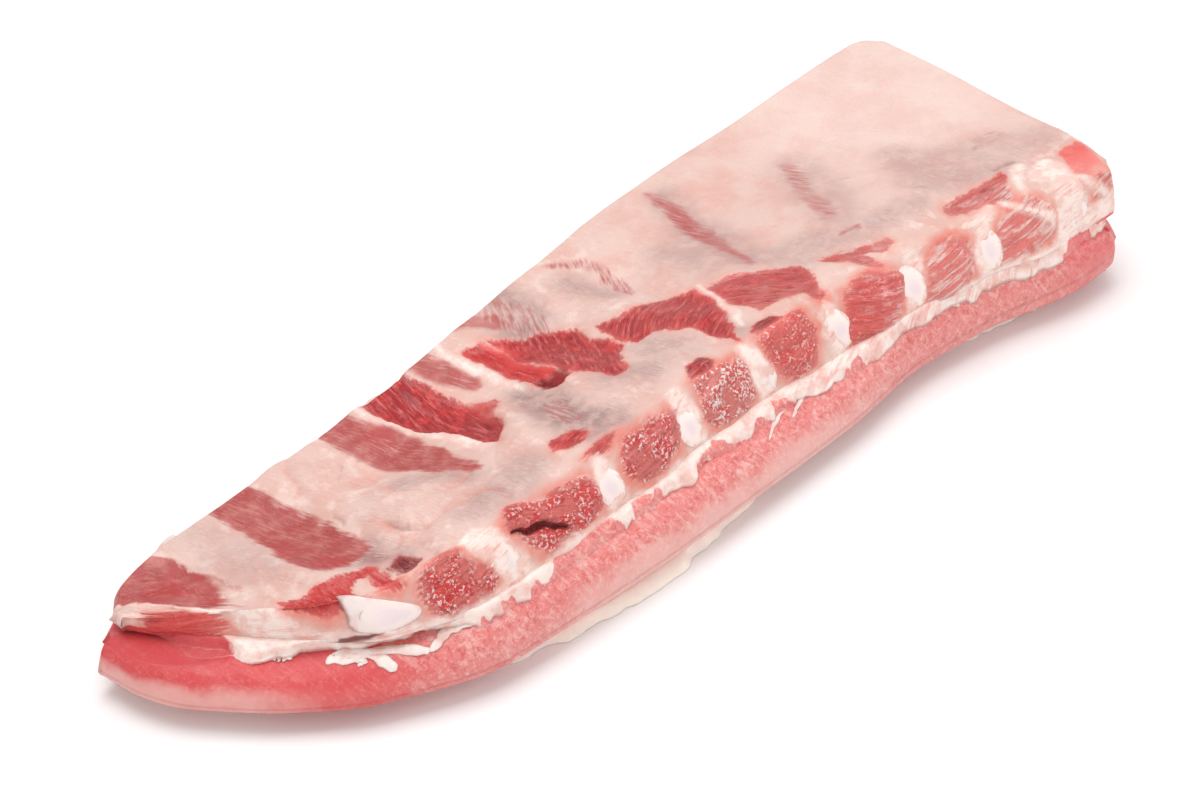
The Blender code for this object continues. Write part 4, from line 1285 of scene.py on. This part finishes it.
def closed_line(corners, count):
    """Points evenly along a closed outline with its corners rounded off."""
    corners = np.array(corners, float)
    following = np.roll(corners, -1, 0)
    points = np.stack([corners * (1 - share) + following * share for share in (0.25, 0.75)], 1).reshape(-1, 2)
    closed = np.concatenate([points, points[:1]])
    run = np.concatenate([[0], np.cumsum(np.linalg.norm(np.diff(closed, axis=0), axis=1))])
    at = np.linspace(0, run[-1], count, endpoint=False)
    return np.stack([np.interp(at, run, closed[:, axis]) for axis in (0, 1)], 1)


def bone_rings(number, rings, ring):
    """Rings of one rib: its sawn end from the middle out, and on to the far side."""
    (front, out), (back, _) = (
        [part[0] for part in edge_points(edge, np.array([float(at_ribs[number - 1])]))]
        for edge, at_ribs in ((SAWN_EDGE, RIB_FRONT_X), (BACK_EDGE, RIB_BACK_X))
    )
    reach = np.linalg.norm(back - front)
    way = (back - front) / reach
    side = np.array([way[1], -way[0]])
    first = number == 1
    cut = closed_line(FIRST_BONE_CUT, ring)
    angle = np.linspace(0, 2 * np.pi, ring, endpoint=False)

    def onto_sawn_side(across, height, proud):
        """How far along the rib points lie that stand proud of the sloping sawn side."""
        skew = 0 * across
        for _ in range(4):
            plan = front + np.outer(skew, way) + np.outer(across, side)
            edge, edge_out = edge_points(SAWN_EDGE, plan[:, 0])
            inset = through(SAWN_INSET, plan[:, 0])
            way_in = sawn_way_in(height, slab_top(edge - edge_out * inset[:, None]), plan[:, 0])
            short = inset * way_in - proud + ((plan - edge) * edge_out).sum(1)
            skew -= short / (way @ out)
        return skew

    made = []
    steps = [(share, 0.0) for share in END_SHARES] + [(1.0, t) for t in np.linspace(0, 1, rings)]
    for share_out, t in steps:
        centre = front + way * reach * t
        floor, roof = sheet_top(centre) + GAP, slab_top(centre)
        half_front = FIRST_BONE_FRONT if first else BONE_FRONT
        wide, tall = (a + (b - a) * ease(0, 0.7, t) for a, b in zip(half_front, BONE_BACK))
        lowest = floor + END_COVER + (BONE_COVER - END_COVER) * ease(0, 0.6, t) + tall
        middle = min(lowest, max(roof - BONE_COVER - tall, (floor + roof) / 2)) if t > 0.2 else lowest
        inside = ease(0.15, 0.3, t) * ease(0.97, 0.85, t)
        middle -= 0.8 * inside
        outline = np.stack([wide * np.cos(angle), tall * np.sin(angle)]) * (1 - BONE_SLIMMER * inside)
        if first:
            outline += (cut.T - outline) * ease(0.12, 0, t)
            outline *= 1 - BONE_SLIMMER * ease(0, 0.05, t) * ease(0.97, 0.85, t)
        across, up = outline * share_out
        height = middle + up
        skew = onto_sawn_side(across, height, BONE_PROUD * (1.8 - share_out**BONE_DOME))
        along = skew * (1 - ease(0, 0.2, t)) + reach * t * ease(-0.2, 0.2, t)
        plan = front + np.outer(along, way) + np.outer(across, side)
        made.append(np.concatenate([plan, height[:, None]], 1))
    return np.array(made)


class RACK_OT_bones(Operator):
    """Add the nine ribs, whose ends show on the sawn side and the far side"""

    bl_idname = "rack.bones"
    bl_label = "Ribs"

    def execute(self, context):
        finish = bone_finish(context.scene.rack_colours)
        inwards = END_SHARES[::-1]
        for number in range(1, RIBS + 1):
            sides = bone_rings(number, 26, 48)
            front, back = sides[0].mean(0), sides[-1].mean(0)
            way = (front - back) / np.linalg.norm(front - back)
            spokes = sides[-1] - back
            end = [back + spokes * share - way * 0.2 * (1 - share**BONE_DOME) for share in inwards]
            rings = np.array([*sides, *end])
            rings = rings + 0.12 * rough_noise(rings, 2.2, 90 + number, 3)[..., None] * way
            body = np.ones(len(sides) - len(END_SHARES))
            rim = np.concatenate([END_SHARES, body, inwards]) * (0.85 if number == 1 else 1)
            values = {"rim": np.repeat(rim, rings.shape[1])}
            made = mesh_piece(f"rib_end_{number}", [rings], values, finish, [f"rib_bone_{number}"])
        return {"FINISHED"}


def bone_finish(tint):
    """Sawn bone with a bluish, slightly glassy core, and fat that covers its rim."""
    f = Finish("sawn_bone", tint)
    at = f.place()
    cloud, grain = f.noise(at, 2.5, 4), f.noise(at, 0.5, 3)
    out = f.field("rim") + (cloud - 0.5) * 0.35
    rim_fat = f.mix(cloud.step(0.42, 0.6), "fat", "fat_pink")
    look = f.over(f.mix(out.step(0.2, 0.6), "bone_core", "bone"), (out.step(0.68, 0.95), rim_fat))
    return f.moist(
        look, f.bump(grain, 0.25, 0.2), 0.35 + (grain - 0.5) * 0.15, coat=0.3, coat_rough=0.15,
        soak=0.2, reach=(1.0, 0.8, 0.7), depth=0.002,
    )


def area_light(name, place, size, power):
    light = bpy.data.lights.new(name, "AREA")
    light.shape = "RECTANGLE"
    light.size, light.size_y = size
    light.energy = power
    made = bpy.data.objects.new(name, light)
    made.location = place
    made.rotation_euler = (Vector(place) - Vector(LIGHTS_AIM)).to_track_quat("Z", "Y").to_euler()
    bpy.context.scene.collection.objects.link(made)


class RACK_OT_stage(Operator):
    """Add the floor, the lights and the camera"""

    bl_idname = "rack.stage"
    bl_label = "Stage"

    def execute(self, context):
        scene = context.scene
        mesh = bpy.data.meshes.new("floor")
        half = 3.0
        corners = [(-half, -half, 0), (half, -half, 0), (half, half, 0), (-half, half, 0)]
        mesh.from_pydata(corners, [], [(0, 1, 2, 3)])
        floor = bpy.data.objects.new("floor", mesh)
        floor.location.z = -0.0002
        scene.collection.objects.link(floor)
        f = Finish("floor_surface", scene.rack_colours)
        mesh.materials.append(f.surface(Base_Color=(*scene.rack_colours.floor, 1.0), Roughness=0.6))
        world = bpy.data.worlds.new("studio")
        world.use_nodes = True
        background = world.node_tree.nodes["Background"].inputs
        background["Color"].default_value = (1, 0.99, 0.98, 1)
        background["Strength"].default_value = 0.62
        scene.world = world
        for light in LIGHTS:
            area_light(*light)
        scene.view_settings.view_transform = "Standard"
        camera = bpy.data.cameras.new("camera")
        camera.lens, camera.sensor_width = 96, 36
        view = bpy.data.objects.new("camera", camera)
        turn, lift = math.radians(-45), math.radians(38)
        back = Vector((math.sin(turn) * math.cos(lift), -math.cos(turn) * math.cos(lift), math.sin(lift)))
        target = Vector((-0.01335, -0.00505, 0.017))
        view.location = target + back * scene.rack_sizes.camera_distance
        view.rotation_euler = back.to_track_quat("Z", "Y").to_euler()
        scene.collection.objects.link(view)
        scene.camera = view
        return {"FINISHED"}


class RACK_PT_panel(Panel):
    """Lists the rack's pieces, sizes and colours"""

    bl_idname = "RACK_PT_panel"
    bl_label = "Rack of ribs"
    bl_space_type = "VIEW_3D"
    bl_region_type = "UI"
    bl_category = "Rack"

    def draw(self, context):
        for operator in OPERATORS:
            self.layout.operator(operator.bl_idname)
        for group in (context.scene.rack_sizes, context.scene.rack_colours):
            for key in type(group).__annotations__:
                self.layout.prop(group, key)


OPERATORS = (RACK_OT_slab, RACK_OT_bones, RACK_OT_loin, RACK_OT_fat, RACK_OT_stage)
CLASSES = (RackColours, RackSizes, *OPERATORS, RACK_PT_panel)


def register():
    for kind in CLASSES:
        bpy.utils.register_class(kind)
    bpy.types.Scene.rack_colours = PointerProperty(type=RackColours)
    bpy.types.Scene.rack_sizes = PointerProperty(type=RackSizes)


def unregister():
    del bpy.types.Scene.rack_sizes
    del bpy.types.Scene.rack_colours
    for kind in reversed(CLASSES):
        bpy.utils.unregister_class(kind)


def main():
    """Makes every piece of the rack and its stage."""
    register()
    for operator in OPERATORS:
        group, name = operator.bl_idname.split(".")
        getattr(getattr(bpy.ops, group), name)()


if __name__ == "__main__":
    main()
